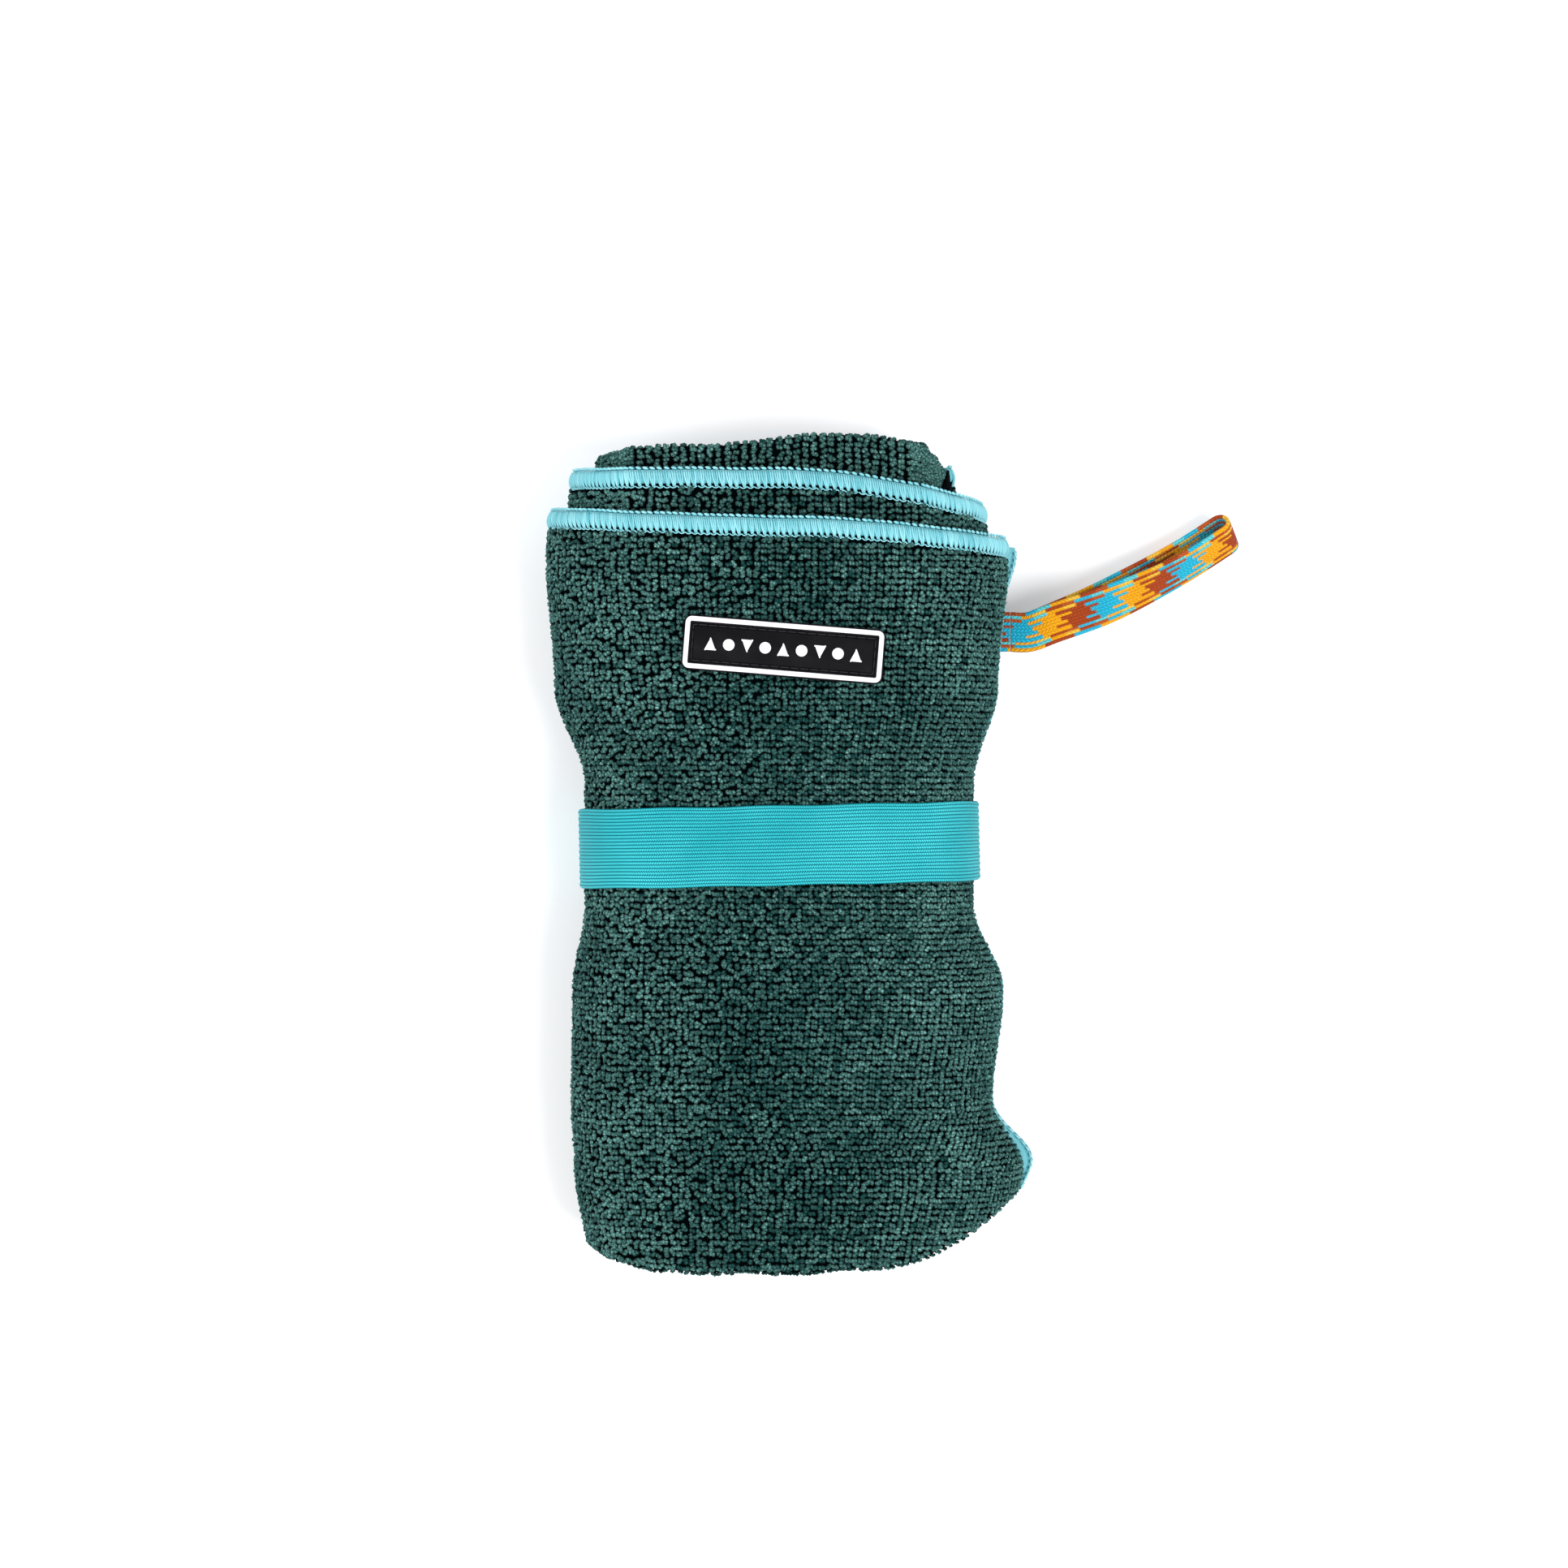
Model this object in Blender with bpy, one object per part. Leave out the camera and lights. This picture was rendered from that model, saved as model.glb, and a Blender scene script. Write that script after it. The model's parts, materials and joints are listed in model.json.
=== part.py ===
"""Quick dry towel: a terry towel folded in three, rolled flat and held by an elastic band.

Metres, +Z up. The roll lies on its back on z = 0, with its length along Y, the hemmed end at +Y and the
free end of the cloth on its right side, at +X. The origin is under the middle of the roll.

Every layer is placed by roll_point(), in "turns": 0 is the middle of the right side, and one turn goes over
the front, round the left side, under the back and up to the right side again, one strip thickness deeper.
"""

import math

import bmesh
import bpy
from mathutils import Matrix, Vector

MM = 0.001

# Cloth and fits
STRIP = 6.0 * MM  # three plies of terry lying together, the pitch of the roll
GAP = 0.3 * MM  # between pieces that touch
FLOOR_CLEARANCE = 0.3 * MM  # under the band, which the raised waist holds off the surface

# Elastic band
BAND_WIDTH = 25.4 * MM
BAND_THICK = 1.2 * MM
BAND_Y = 2.2 * MM
BAND_TILT = math.radians(1.2)
BAND_TRAVEL = 6.0 * MM
BAND_FIT = 0.4 * MM
LAP_LENGTH = 14.0 * MM
LAP_SEAM = (0.3, 0.45)  # how far its zigzag seam reaches from its middle, in lap lengths and band widths
LAP_BENDS = 12
THREAD = 0.5 * MM

# Roll: its length, and its widths and heights where they differ along it
HALF_LENGTH = 133.0 * MM
SHOULDER_WIDTH = 149.6 * MM
WAIST_WIDTH = 126.4 * MM
HIP_WIDTH = 139.5 * MM
FOOT_WIDTH = 145.5 * MM
BELLY_HEIGHT = 56.0 * MM
WAIST_DEPTH = 3.2 * MM  # how far the band sinks the front below the bellies
END_HEIGHT = 52.0 * MM
CROWN = 4.0 * MM  # how far the middle of the front stands above its sides
END_LIFT = 2.0 * MM  # how far the underside lifts at both ends
END_ROOM = 3.2 * MM  # beside the core, where the inner end's hem stands
FOOT_DROP = 14.0 * MM  # how far the foot's corners draw in
FOOT_PEAK = -8.0 * MM  # where across the roll the foot reaches furthest
FOOT_SAMPLE = 20.0 * MM  # from the foot to the section that gives its corners
FOOT_CLIMB = 0.3  # how much shorter the cloth ends for each unit that it lies deeper
CORE_DROP = 9.0 * MM  # how far the fold's corners draw in at the other end
FOOT_RUN = 31.0 * MM  # from the foot to where it is widest
DENT_RUN = 53.0 * MM  # from the foot to the dent above it
HIP_RUN = 26.0 * MM  # from the waist to the hip below it
CHEST_RUN = 30.0 * MM  # from the waist to the chest above it
SHOULDER_RUN = 40.0 * MM  # from the hemmed end to the shoulder
FOOT_TAPER = 12.0 * MM  # how much narrower the roll is at its foot than where the foot is widest
SHOULDER_TAPER = 6.0 * MM  # and at the chest and the hemmed end than at the shoulder
DENT_TAPER = 3.0 * MM  # and in the dent than at the hip
FOOT_LEAN = 4.5 * MM  # how far the middle of the foot lies to the right
WAIST_LEAN = -1.8 * MM
SHOULDER_LEAN = -2.5 * MM
WAIST_MARGIN = 2.0 * MM  # of level waist beyond the band's travel
WAIST_BASE = FLOOR_CLEARANCE + THREAD + 2 * BAND_THICK + 2 * GAP + BAND_FIT

# Hems
HEM_WIDTH = 6.3 * MM
HEM_THICK = 2.6 * MM
INNER_HEM_RISE = 4.0 * MM  # from the inner end's foot to its hem
INNER_HEM_DROP = 9.0 * MM  # and from the roll's top

# Hanging loop: a flat tape, and its route seen from above and from the side
TAPE_WIDTH = 12.8 * MM
TAPE_THICK = 1.4 * MM
LOOP_Y = HALF_LENGTH - 62.0 * MM
LOOP_STAND_OFF = 3.0 * MM  # from the roll's side to the line that the loop swings on
ROOT_SPREAD = 1.35 * MM  # half the distance between the two legs where they are sewn
EYE_SPREAD = 3.1 * MM  # and where the eye is widest
HINGE_RISE = Vector((0, 0, ROOT_SPREAD + TAPE_THICK / 2))  # it swings on the upper leg's top edge
LOOP_ROUTE = (  # from the line it swings on: x, y, height, and the tape's lean in degrees
    (0.0, 0.0, 0.0, 0),
    (6.0, 0.0, 0.0, 0),
    (14.0, 3.0, -0.6, 3),
    (29.5, 9.2, -3.4, 18),
    (44.5, 16.7, -6.8, 36),
    (57.5, 24.0, -9.2, 44),
    (70.0, 32.0, -10.4, 46),
)
LOOP_STEPS = 18
LOOP_EASE = 0.55  # the share of the loop's length over which its legs part
TAIL_CLEARANCE = 1.5 * MM  # between the tails' cut ends and the turn behind them
TACK_LENGTH = 2.2 * MM
TACK_THICK = 1.1 * MM
TACK_MARGIN = 1.0 * MM  # how much shorter the bar tack is than the tape is wide
TACK_CORNER = 0.6 * MM
TIP_STEPS = 8  # round the loop's tip

# Badge
BADGE_LENGTH = 63.7 * MM
BADGE_WIDTH = 17.4 * MM
BADGE_THICK = 1.6 * MM
BADGE_X = -0.5 * MM
BADGE_Y = HALF_LENGTH - 69.0 * MM
BADGE_TILT = math.radians(-4.6)
BADGE_CORNER = 1.6 * MM
LEAST_CORNER = 0.3 * MM
LIP = 0.5 * MM
RIM_WIDTH = 1.5 * MM
RIM_HEIGHT = 0.6 * MM
CHANNEL_WIDTH = 0.9 * MM
CHANNEL_DEPTH = 0.6 * MM
CHANNEL_OFFSET = 0.6 * MM
STITCH_LIFT = 0.05 * MM  # of the thread above the channel's floor
MARKS = 9
MARK_SIZE = 4.6 * MM
MARK_PITCH = 5.75 * MM

SEGMENTS = 48  # around one turn: a multiple of 8, so that the round sides and flats meet on a sample
ROW_STEP = 12.0 * MM  # between sections, at most, where the roll changes along its length
ROW_MARGIN = 1.0 * MM  # the least length of a wall beyond its last shared row
END_ROWS = 3
FLAT_STEP = 3  # on the flats, only every third of those samples

RIGHT_SIDE, FRONT, BACK = 0.0, 0.25, 0.75
FREE_END = 0.0  # the turn at which the outer turn's cloth ends

# Where the cloth's top edge lies, below the roll's top, at each quarter turn inwards from the free end
TOP_EDGE = (38.6, 33.2, 29.5, 28.8, 27.5, 17.4, 16.8, 16.0, 15.0)

PARTS = bpy.data.collections.new("quick_dry_towel")
CUTTERS = bpy.data.collections.new("cutters")


def eased(stations, at):
    """Value at a place between stations (place, value, value...), level at each of them."""
    if at <= stations[0][0]:
        return stations[0][1:]
    for low, high in zip(stations, stations[1:]):
        if at <= high[0]:
            t = (at - low[0]) / (high[0] - low[0])
            share = t * t * (3 - 2 * t)
            return tuple(a + (b - a) * share for a, b in zip(low[1:], high[1:]))
    return stations[-1][1:]


def outline_stations():
    """The roll's sections where it changes: y, width, shift of the middle, base, top."""
    reach = BAND_WIDTH / 2 + BAND_TRAVEL + WAIST_MARGIN
    front = BELLY_HEIGHT - WAIST_DEPTH
    narrow = SHOULDER_WIDTH - SHOULDER_TAPER
    return (
        (-HALF_LENGTH, FOOT_WIDTH - FOOT_TAPER, FOOT_LEAN * 2 / 3, END_LIFT, END_HEIGHT),
        (-HALF_LENGTH + FOOT_RUN, FOOT_WIDTH, FOOT_LEAN, 0.0, BELLY_HEIGHT - END_LIFT / 2),
        (-HALF_LENGTH + DENT_RUN, HIP_WIDTH - DENT_TAPER, -1 * MM, 0.0, BELLY_HEIGHT),
        (BAND_Y - reach - HIP_RUN, HIP_WIDTH, 1 * MM, 0.0, BELLY_HEIGHT),
        (BAND_Y - reach, WAIST_WIDTH, WAIST_LEAN, WAIST_BASE, front),
        (BAND_Y + reach, WAIST_WIDTH, WAIST_LEAN, WAIST_BASE, front),
        (BAND_Y + reach + CHEST_RUN, narrow, SHOULDER_LEAN - 0.3 * MM, 0.0, BELLY_HEIGHT),
        (HALF_LENGTH - SHOULDER_RUN, SHOULDER_WIDTH, SHOULDER_LEAN, 0.0, BELLY_HEIGHT),
        (HALF_LENGTH, narrow, SHOULDER_LEAN - 0.5 * MM, END_LIFT, END_HEIGHT),
    )


def outline(y):
    """The roll's left, right, base and top at a place along it."""
    width, shift, base, top = eased(outline_stations(), y)
    return shift - width / 2, shift + width / 2, base, top


def rows_between(low, high):
    """The rows that every wall shares between two ends: each station, and places between where it changes."""
    stations = outline_stations()
    shared = []
    for one, two in zip(stations, stations[1:]):
        steps = 1 if one[1:] == two[1:] else math.ceil((two[0] - one[0]) / ROW_STEP)
        shared += [one[0] + (two[0] - one[0]) * k / steps for k in range(steps)]
    shared.append(stations[-1][0])
    return [y for y in shared if low + ROW_MARGIN < y < high - ROW_MARGIN]


def places_along(low, between, high):
    """A turn's own rows: the shared ones, with END_ROWS steps out to each of its ends."""
    if not between:
        return [low, high]
    out = [low + (between[0] - low) * k / END_ROWS for k in range(END_ROWS)]
    out += between[:-1]
    return out + [between[-1] + (high - between[-1]) * k / END_ROWS for k in range(END_ROWS + 1)]


def roll_point(y, turn, inset, cut_right=0.0):
    """The point at this length and turn, inset from the roll's outside: a section of flats and round sides."""
    left, full_right, base, top = outline(y)
    right = full_right - cut_right
    radius = (top - base) / 2
    middle = base + radius
    round_by = radius - inset
    share = (turn - RIGHT_SIDE) % 1.0
    if share < 1 / 8 or share >= 7 / 8:
        angle = (share if share < 1 / 8 else share - 1) * 8 * math.pi / 2
        x = right - radius + round_by * math.cos(angle)
        z = middle + round_by * math.sin(angle)
    elif share < 3 / 8:
        x = right - radius + (left - right + 2 * radius) * (share - 1 / 8) * 4
        z = middle + round_by
    elif share < 5 / 8:
        angle = math.pi / 2 + (share - 3 / 8) * 8 * math.pi / 2
        x = left + radius + round_by * math.cos(angle)
        z = middle + round_by * math.sin(angle)
    else:
        x = left + radius + (right - left - 2 * radius) * (share - 5 / 8) * 4
        z = middle - round_by
    across = (2 * x - left - full_right) / (full_right - left)
    return x, z + CROWN * (1 - across * across) * (z - base) / (top - base)


def foot_edge(turn, inset):
    """Where the cloth ends at the roll's foot: its corners draw in, and each turn ends a little inside the last."""
    x, _ = roll_point(-HALF_LENGTH + FOOT_SAMPLE, turn, inset)
    across = abs(x - FOOT_PEAK) / (FOOT_WIDTH / 2)
    return -HALF_LENGTH + FOOT_DROP * across**4 + FOOT_CLIMB * inset


def top_edge(turn):
    """Where the cloth ends at the roll's hemmed end. The turns are drawn out, so it climbs inwards."""
    stations = [(k / 4, drop) for k, drop in enumerate(TOP_EDGE)]
    return HALF_LENGTH - eased(stations, turn - FREE_END)[0] * MM


def spiral(turn):
    """How deep a turn lies: one strip for each turn, stepping in where it tucks under the free end."""
    whole, share = divmod(turn - FREE_END, 1.0)
    tuck = max(share * 8 - 7, 0)
    return STRIP * (whole + tuck * tuck * (3 - 2 * tuck))


def material(name, colour, roughness):
    made = bpy.data.materials.new(name)
    made.use_nodes = True
    shader = made.node_tree.nodes["Principled BSDF"]
    shader.inputs["Base Color"].default_value = (*colour, 1)
    shader.inputs["Roughness"].default_value = roughness
    return made


def add_object(name, mesh, look, smooth=True):
    made = bpy.data.objects.new(name, mesh)
    PARTS.objects.link(made)
    mesh.materials.append(look)
    mesh.polygons.foreach_set("use_smooth", [smooth] * len(mesh.polygons))
    return made


def move_origin(thing, place):
    """Puts an object's origin at a place, with its shape staying where it is."""
    thing.data.transform(Matrix.Translation(-Vector(place)))
    thing.location = place


def wall(name, turns, outer, inner, low, high, look, closed=False):
    """A wall of cloth: outer and inner give its faces' insets at a turn, low and high its ends along Y."""
    mesh = bpy.data.meshes.new(name)
    made = bmesh.new()
    faces = []
    between = rows_between(max(low(turn) for turn in turns), min(high(turn) for turn in turns))
    rows = len(places_along(0, between, 1)) - 1
    for inset_at in (outer, inner):
        grid = []
        for turn in turns:
            inset = inset_at(turn)
            row = []
            for y in places_along(low(turn), between, high(turn)):
                x, z = roll_point(y, turn, inset)
                row.append(made.verts.new((x, y, z)))
            grid.append(row)
        faces.append(grid)
    outside, inside = faces
    spans = list(zip(range(len(turns)), range(1, len(turns))))
    if closed:
        spans.append((len(turns) - 1, 0))
    for i, j in spans:
        for k in range(rows):
            made.faces.new((outside[i][k], outside[i][k + 1], outside[j][k + 1], outside[j][k]))
            made.faces.new((inside[i][k], inside[j][k], inside[j][k + 1], inside[i][k + 1]))
        made.faces.new((outside[i][0], outside[j][0], inside[j][0], inside[i][0]))
        made.faces.new((outside[i][rows], inside[i][rows], inside[j][rows], outside[j][rows]))
    if not closed:
        for end, flip in ((0, False), (-1, True)):
            for k in range(rows):
                corners = [outside[end][k], inside[end][k], inside[end][k + 1], outside[end][k + 1]]
                made.faces.new(corners[::-1] if flip else corners)
    bmesh.ops.recalc_face_normals(made, faces=made.faces)
    made.to_mesh(mesh)
    made.free()
    return add_object(name, mesh, look)


def turns_from(start, end):
    """Samples from one turn to another, on the sections' shared grid, so that nested walls stay parallel."""
    first = math.floor(start * SEGMENTS + 1e-6) + 1
    last = math.ceil(end * SEGMENTS - 1e-6)
    return [start, *(k / SEGMENTS for k in range(first, last) if on_grid(k)), end]


def on_grid(sample):
    """Whether a sample is kept: all on the round sides, and every FLAT_STEP on the flats."""
    eighth = SEGMENTS // 8
    from_side = (sample + eighth) % (SEGMENTS // 2)
    return from_side <= 2 * eighth or sample % FLAT_STEP == 0


def arc_share(length):
    """How much of a turn a length of cloth takes on the round sides."""
    return length / (BELLY_HEIGHT / 2 * math.pi / 2 * 8)


def make_turns(terry):
    """The outer turn, the turn below it and the core: three stretches of one sheet."""
    join = arc_share(GAP)
    for name, first in (("towel_outer_turn", FREE_END), ("towel_second_turn", FREE_END + 1)):
        wall(
            name,
            turns_from(first, first + 1 - join),
            spiral,
            lambda turn: spiral(turn) + STRIP - GAP,
            lambda turn: foot_edge(turn, spiral(turn)),
            top_edge,
            terry,
        )
    make_core(terry)


def core_top(turn):
    """Where the core's fold lies, drawn in towards its two sides."""
    left, right, _, _ = outline(HALF_LENGTH)
    x, _ = roll_point(HALF_LENGTH, turn, spiral(turn), END_ROOM)
    return HALF_LENGTH - CORE_DROP * ((2 * x - left - right) / (right - left)) ** 4


def make_core(terry):
    """The rolled core, closed at its ends. Its plain fold stands above the second turn's hem."""
    mesh = bpy.data.meshes.new("towel_core")
    made = bmesh.new()
    turns = turns_from(FREE_END + 2, FREE_END + 3)
    lows = [foot_edge(turn, spiral(turn)) for turn in turns]
    highs = [core_top(turn) for turn in turns]
    between = rows_between(max(lows), min(highs))
    columns = []
    for turn, low, high in zip(turns, lows, highs):
        column = []
        for y in places_along(low, between, high):
            x, z = roll_point(y, turn, spiral(turn), END_ROOM)
            column.append(made.verts.new((x, y, z)))
        columns.append(column)
    rings = list(zip(*columns))
    for low_ring, high_ring in zip(rings, rings[1:]):
        for i in range(len(turns)):
            j = (i + 1) % len(turns)
            made.faces.new((low_ring[i], low_ring[j], high_ring[j], high_ring[i]))
    for ring in (rings[0], rings[-1]):
        centre = made.verts.new(sum((v.co for v in ring), Vector()) / len(ring))
        for i in range(len(ring)):
            made.faces.new((ring[i], ring[(i + 1) % len(ring)], centre))
    bmesh.ops.recalc_face_normals(made, faces=made.faces)
    made.to_mesh(mesh)
    made.free()
    add_object("towel_core", mesh, terry)


def make_hems(thread):
    """Overlock thread: along the top edge of both turns, down the free end, and down the inner end."""
    corner = arc_share(HEM_WIDTH)
    seam = arc_share(GAP)
    for name, first in (("hem_long_outer", FREE_END), ("hem_long_second", FREE_END + 1)):
        wall(
            name,
            turns_from(first + (0 if first == FREE_END else seam), first + 1 - seam),
            spiral,
            lambda turn: spiral(turn) + HEM_THICK,
            lambda turn: top_edge(turn) + GAP,
            lambda turn: top_edge(turn) + GAP + HEM_WIDTH,
            thread,
        )
    wall(
        "hem_short_outer",
        turns_from(FREE_END - corner, FREE_END - seam),
        lambda turn: 0.0,
        lambda turn: STRIP - GAP,
        lambda turn: foot_edge(FREE_END, 0.0),
        lambda turn: top_edge(FREE_END) + GAP + HEM_WIDTH,
        thread,
    )
    inner = FREE_END + 2
    wall(
        "hem_short_inner",
        turns_from(inner + seam, inner + seam + corner),
        lambda turn: 2 * STRIP + GAP,
        lambda turn: 2 * STRIP + END_ROOM - GAP,
        lambda turn: foot_edge(inner, 2 * STRIP) + INNER_HEM_RISE,
        lambda turn: HALF_LENGTH - INNER_HEM_DROP,
        thread,
    )


def make_band(elastic, thread):
    """The elastic ring, its lapped end behind and the stitching of the lap, all turned a little on the roll."""
    at = BAND_Y

    def flat_wall(name, turns, near, far, width, look, closed=False):
        """A wall with the waist's own section all along it."""
        made = wall(
            name,
            turns,
            lambda turn: -far,
            lambda turn: -near,
            lambda turn: at - width / 2,
            lambda turn: at + width / 2,
            look,
            closed=closed,
        )
        move_origin(made, (0, at, 0))
        made.rotation_euler = (0, 0, BAND_TILT)
        return made

    whole = [k / SEGMENTS for k in range(SEGMENTS) if on_grid(k)]
    flat_wall("elastic_band", whole, BAND_FIT, BAND_FIT + BAND_THICK, BAND_WIDTH, elastic, closed=True)
    lap = BAND_FIT + BAND_THICK + GAP
    share = LAP_LENGTH / (WAIST_WIDTH - BELLY_HEIGHT) / 4  # of the flat, which takes a quarter turn
    lap_turns = turns_from(BACK - share / 2, BACK + share / 2)
    flat_wall("band_lap", lap_turns, lap, lap + BAND_THICK, BAND_WIDTH, elastic)
    middle, back = roll_point(at, BACK, -lap - BAND_THICK)
    reach_x, reach_y = LAP_LENGTH * LAP_SEAM[0], BAND_WIDTH * LAP_SEAM[1]
    bends = [(reach_x * (-1) ** k, reach_y * (2 * k / LAP_BENDS - 1)) for k in range(LAP_BENDS + 1)]
    route = [(middle + x, y, back - GAP - THREAD / 2) for x, y in bends]
    stitching = thread_run("band_stitching", route, THREAD / 2, thread)
    stitching.location = (0, at, 0)
    stitching.rotation_euler = (0, 0, BAND_TILT)


def thread_run(name, points, radius, look, cyclic=False):
    """A sewn thread as a thin tube through these points."""
    data = bpy.data.curves.new(name, "CURVE")
    data.dimensions = "3D"
    data.bevel_depth = radius
    data.bevel_resolution = 1
    data.use_fill_caps = True
    spline = data.splines.new("POLY")
    spline.points.add(len(points) - 1)
    for point, place in zip(spline.points, points):
        point.co = (*place, 1)
    spline.use_cyclic_u = cyclic
    return curve_to_mesh(name, data, look)


def curve_to_mesh(name, data, look):
    guide = bpy.data.objects.new(name + "_guide", data)
    PARTS.objects.link(guide)
    bpy.context.view_layer.update()
    evaluated = guide.evaluated_get(bpy.context.evaluated_depsgraph_get())
    mesh = bpy.data.meshes.new_from_object(evaluated)
    bpy.data.objects.remove(guide)
    made = bmesh.new()
    made.from_mesh(mesh)
    bmesh.ops.remove_doubles(made, verts=made.verts, dist=1e-6)
    bmesh.ops.recalc_face_normals(made, faces=made.faces)
    made.to_mesh(mesh)
    made.free()
    mesh.name = name
    mesh.materials.clear()
    return add_object(name, mesh, look)


def rounded_outline(length, width, corner):
    """A rectangle with round corners, as points round it."""
    points = []
    for k in range(4):
        sign_x = 1 if k in (0, 3) else -1
        sign_y = 1 if k in (0, 1) else -1
        centre = (sign_x * (length / 2 - corner), sign_y * (width / 2 - corner))
        for step in range(5):
            angle = (k + step / 4) * math.pi / 2
            points.append((centre[0] + corner * math.cos(angle), centre[1] + corner * math.sin(angle)))
    return points


def plate(name, outlines, thick, look, collection=None):
    """A flat plate from its outline, or a frame from an outline and its hole, standing on z = 0."""
    data = bpy.data.curves.new(name, "CURVE")
    data.dimensions = "2D"
    data.fill_mode = "BOTH"
    data.extrude = thick / 2
    for points in outlines:
        spline = data.splines.new("POLY")
        spline.points.add(len(points) - 1)
        for point, (x, y) in zip(spline.points, points):
            point.co = (x, y, 0, 1)
        spline.use_cyclic_u = True
    made = curve_to_mesh(name, data, look)
    made.data.transform(Matrix.Translation((0, 0, thick / 2)))
    made.data.polygons.foreach_set("use_smooth", [False] * len(made.data.polygons))
    if collection:
        PARTS.objects.unlink(made)
        collection.objects.link(made)
    return made


def make_badge(black, white, thread):
    """The rubber badge, lying on the crowned front and sewn down through its channel."""
    seat = max(roll_point(BADGE_Y + dy, FRONT, 0)[1] for dy in (-BADGE_WIDTH / 2, 0, BADGE_WIDTH / 2))
    anchor = bpy.data.objects.new("badge_anchor", None)
    PARTS.objects.link(anchor)
    anchor.location = (BADGE_X, BADGE_Y, seat + GAP)
    anchor.rotation_euler = (0, 0, BADGE_TILT)

    def frame(inset, width):
        """The outer and inner outlines of a frame that lies this far inside the badge's edge."""
        return [
            rounded_outline(BADGE_LENGTH - 2 * d, BADGE_WIDTH - 2 * d, max(BADGE_CORNER - d, LEAST_CORNER))
            for d in (inset, inset + width)
        ]

    def on_badge(thing, height=0.0):
        thing.parent = anchor
        thing.location.z += height
        return thing

    base = on_badge(plate("badge_base", frame(0, 0)[:1], BADGE_THICK, black))
    channel_inset = LIP + RIM_WIDTH + CHANNEL_OFFSET
    cutter = plate("channel_cutter", frame(channel_inset, CHANNEL_WIDTH), 2 * CHANNEL_DEPTH, black, CUTTERS)
    on_badge(cutter, BADGE_THICK - CHANNEL_DEPTH)
    cutter.hide_render = True
    cutter.display_type = "WIRE"
    cut = base.modifiers.new("stitch_channel", "BOOLEAN")
    cut.object = cutter
    cut.operation = "DIFFERENCE"
    on_badge(plate("badge_rim", frame(LIP, RIM_WIDTH), RIM_HEIGHT, white), BADGE_THICK)
    middle = channel_inset + CHANNEL_WIDTH / 2
    corner = max(BADGE_CORNER - middle, LEAST_CORNER)
    path = rounded_outline(BADGE_LENGTH - 2 * middle, BADGE_WIDTH - 2 * middle, corner)
    lift = -CHANNEL_DEPTH + THREAD / 2 + STITCH_LIFT
    stitches = thread_run("badge_stitching", [(x, y, 0) for x, y in path], THREAD / 2, thread, cyclic=True)
    on_badge(stitches, BADGE_THICK + lift)
    for k in range(MARKS):
        made = plate(f"badge_mark_{k + 1}", [mark_outline(k)], RIM_HEIGHT, white)
        on_badge(made, BADGE_THICK)
        made.location.x = (k - (MARKS - 1) / 2) * MARK_PITCH


def mark_outline(index):
    """A plain shape in place of lettering: discs between upright and turned triangles."""
    half = MARK_SIZE / 2
    if index % 2:
        angles = [k * math.pi / 8 for k in range(16)]
        return [(half * 0.8 * math.cos(angle), half * 0.8 * math.sin(angle)) for angle in angles]
    up = 1 if index % 4 == 0 else -1
    corners = [(-half * 0.9, -half * up), (half * 0.9, -half * up), (0, half * up)]
    return corners if up > 0 else corners[::-1]


def loop_spine(share):
    """The middle line between the loop's legs, from its root to its tip: a place and the tape's lean."""
    spans = len(LOOP_ROUTE) - 1
    at = share * spans
    k = min(int(at), spans - 1)
    t = at - k
    p = [LOOP_ROUTE[min(max(k + d, 0), spans)] for d in (-1, 0, 1, 2)]
    value = [
        0.5 * (2 * b + (c - a) * t + (2 * a - 5 * b + 4 * c - d) * t * t + (3 * b - a - 3 * c + d) * t**3)
        for a, b, c, d in zip(*p)
    ]
    return Vector(value[:3]) * MM - HINGE_RISE, math.radians(value[3])


def loop_frame(share):
    """At a share of the loop's length: the spine's place, its direction, the tape's width and its face."""
    place, lean = loop_spine(share)
    step = 1e-3
    ahead = loop_spine(min(share + step, 1))[0] - loop_spine(max(share - step, 0))[0]
    ahead.normalize()
    level = Vector((-ahead.y, ahead.x, 0)).normalized()
    upright = ahead.cross(level)
    width = level * math.cos(lean) + upright * math.sin(lean)
    face = upright * math.cos(lean) - level * math.sin(lean)
    return place, ahead, width, face


def tape_sections():
    """The tape's sections from the upper leg's root, round the tip and back to the lower leg's root."""
    out = []
    for k in range(LOOP_STEPS + 1):
        share = k / LOOP_STEPS
        place, ahead, width, face = loop_frame(share)
        opening = math.sin(math.pi / 2 * min(share / LOOP_EASE, 1)) ** 2
        spread = ROOT_SPREAD + (EYE_SPREAD - ROOT_SPREAD) * opening
        out.append((place, ahead, width, face, spread))
    place, ahead, width, face, spread = out[-1]
    sections = [(p + f * s, w, f) for p, _, w, f, s in out]
    for k in range(1, TIP_STEPS):
        angle = math.pi / 2 - k * math.pi / TIP_STEPS
        turned = face * math.sin(angle) + ahead * math.cos(angle)
        sections.append((place + turned * spread, width, turned))
    sections += [(p - f * s, w, -f) for p, _, w, f, s in reversed(out)]
    return sections


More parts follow.
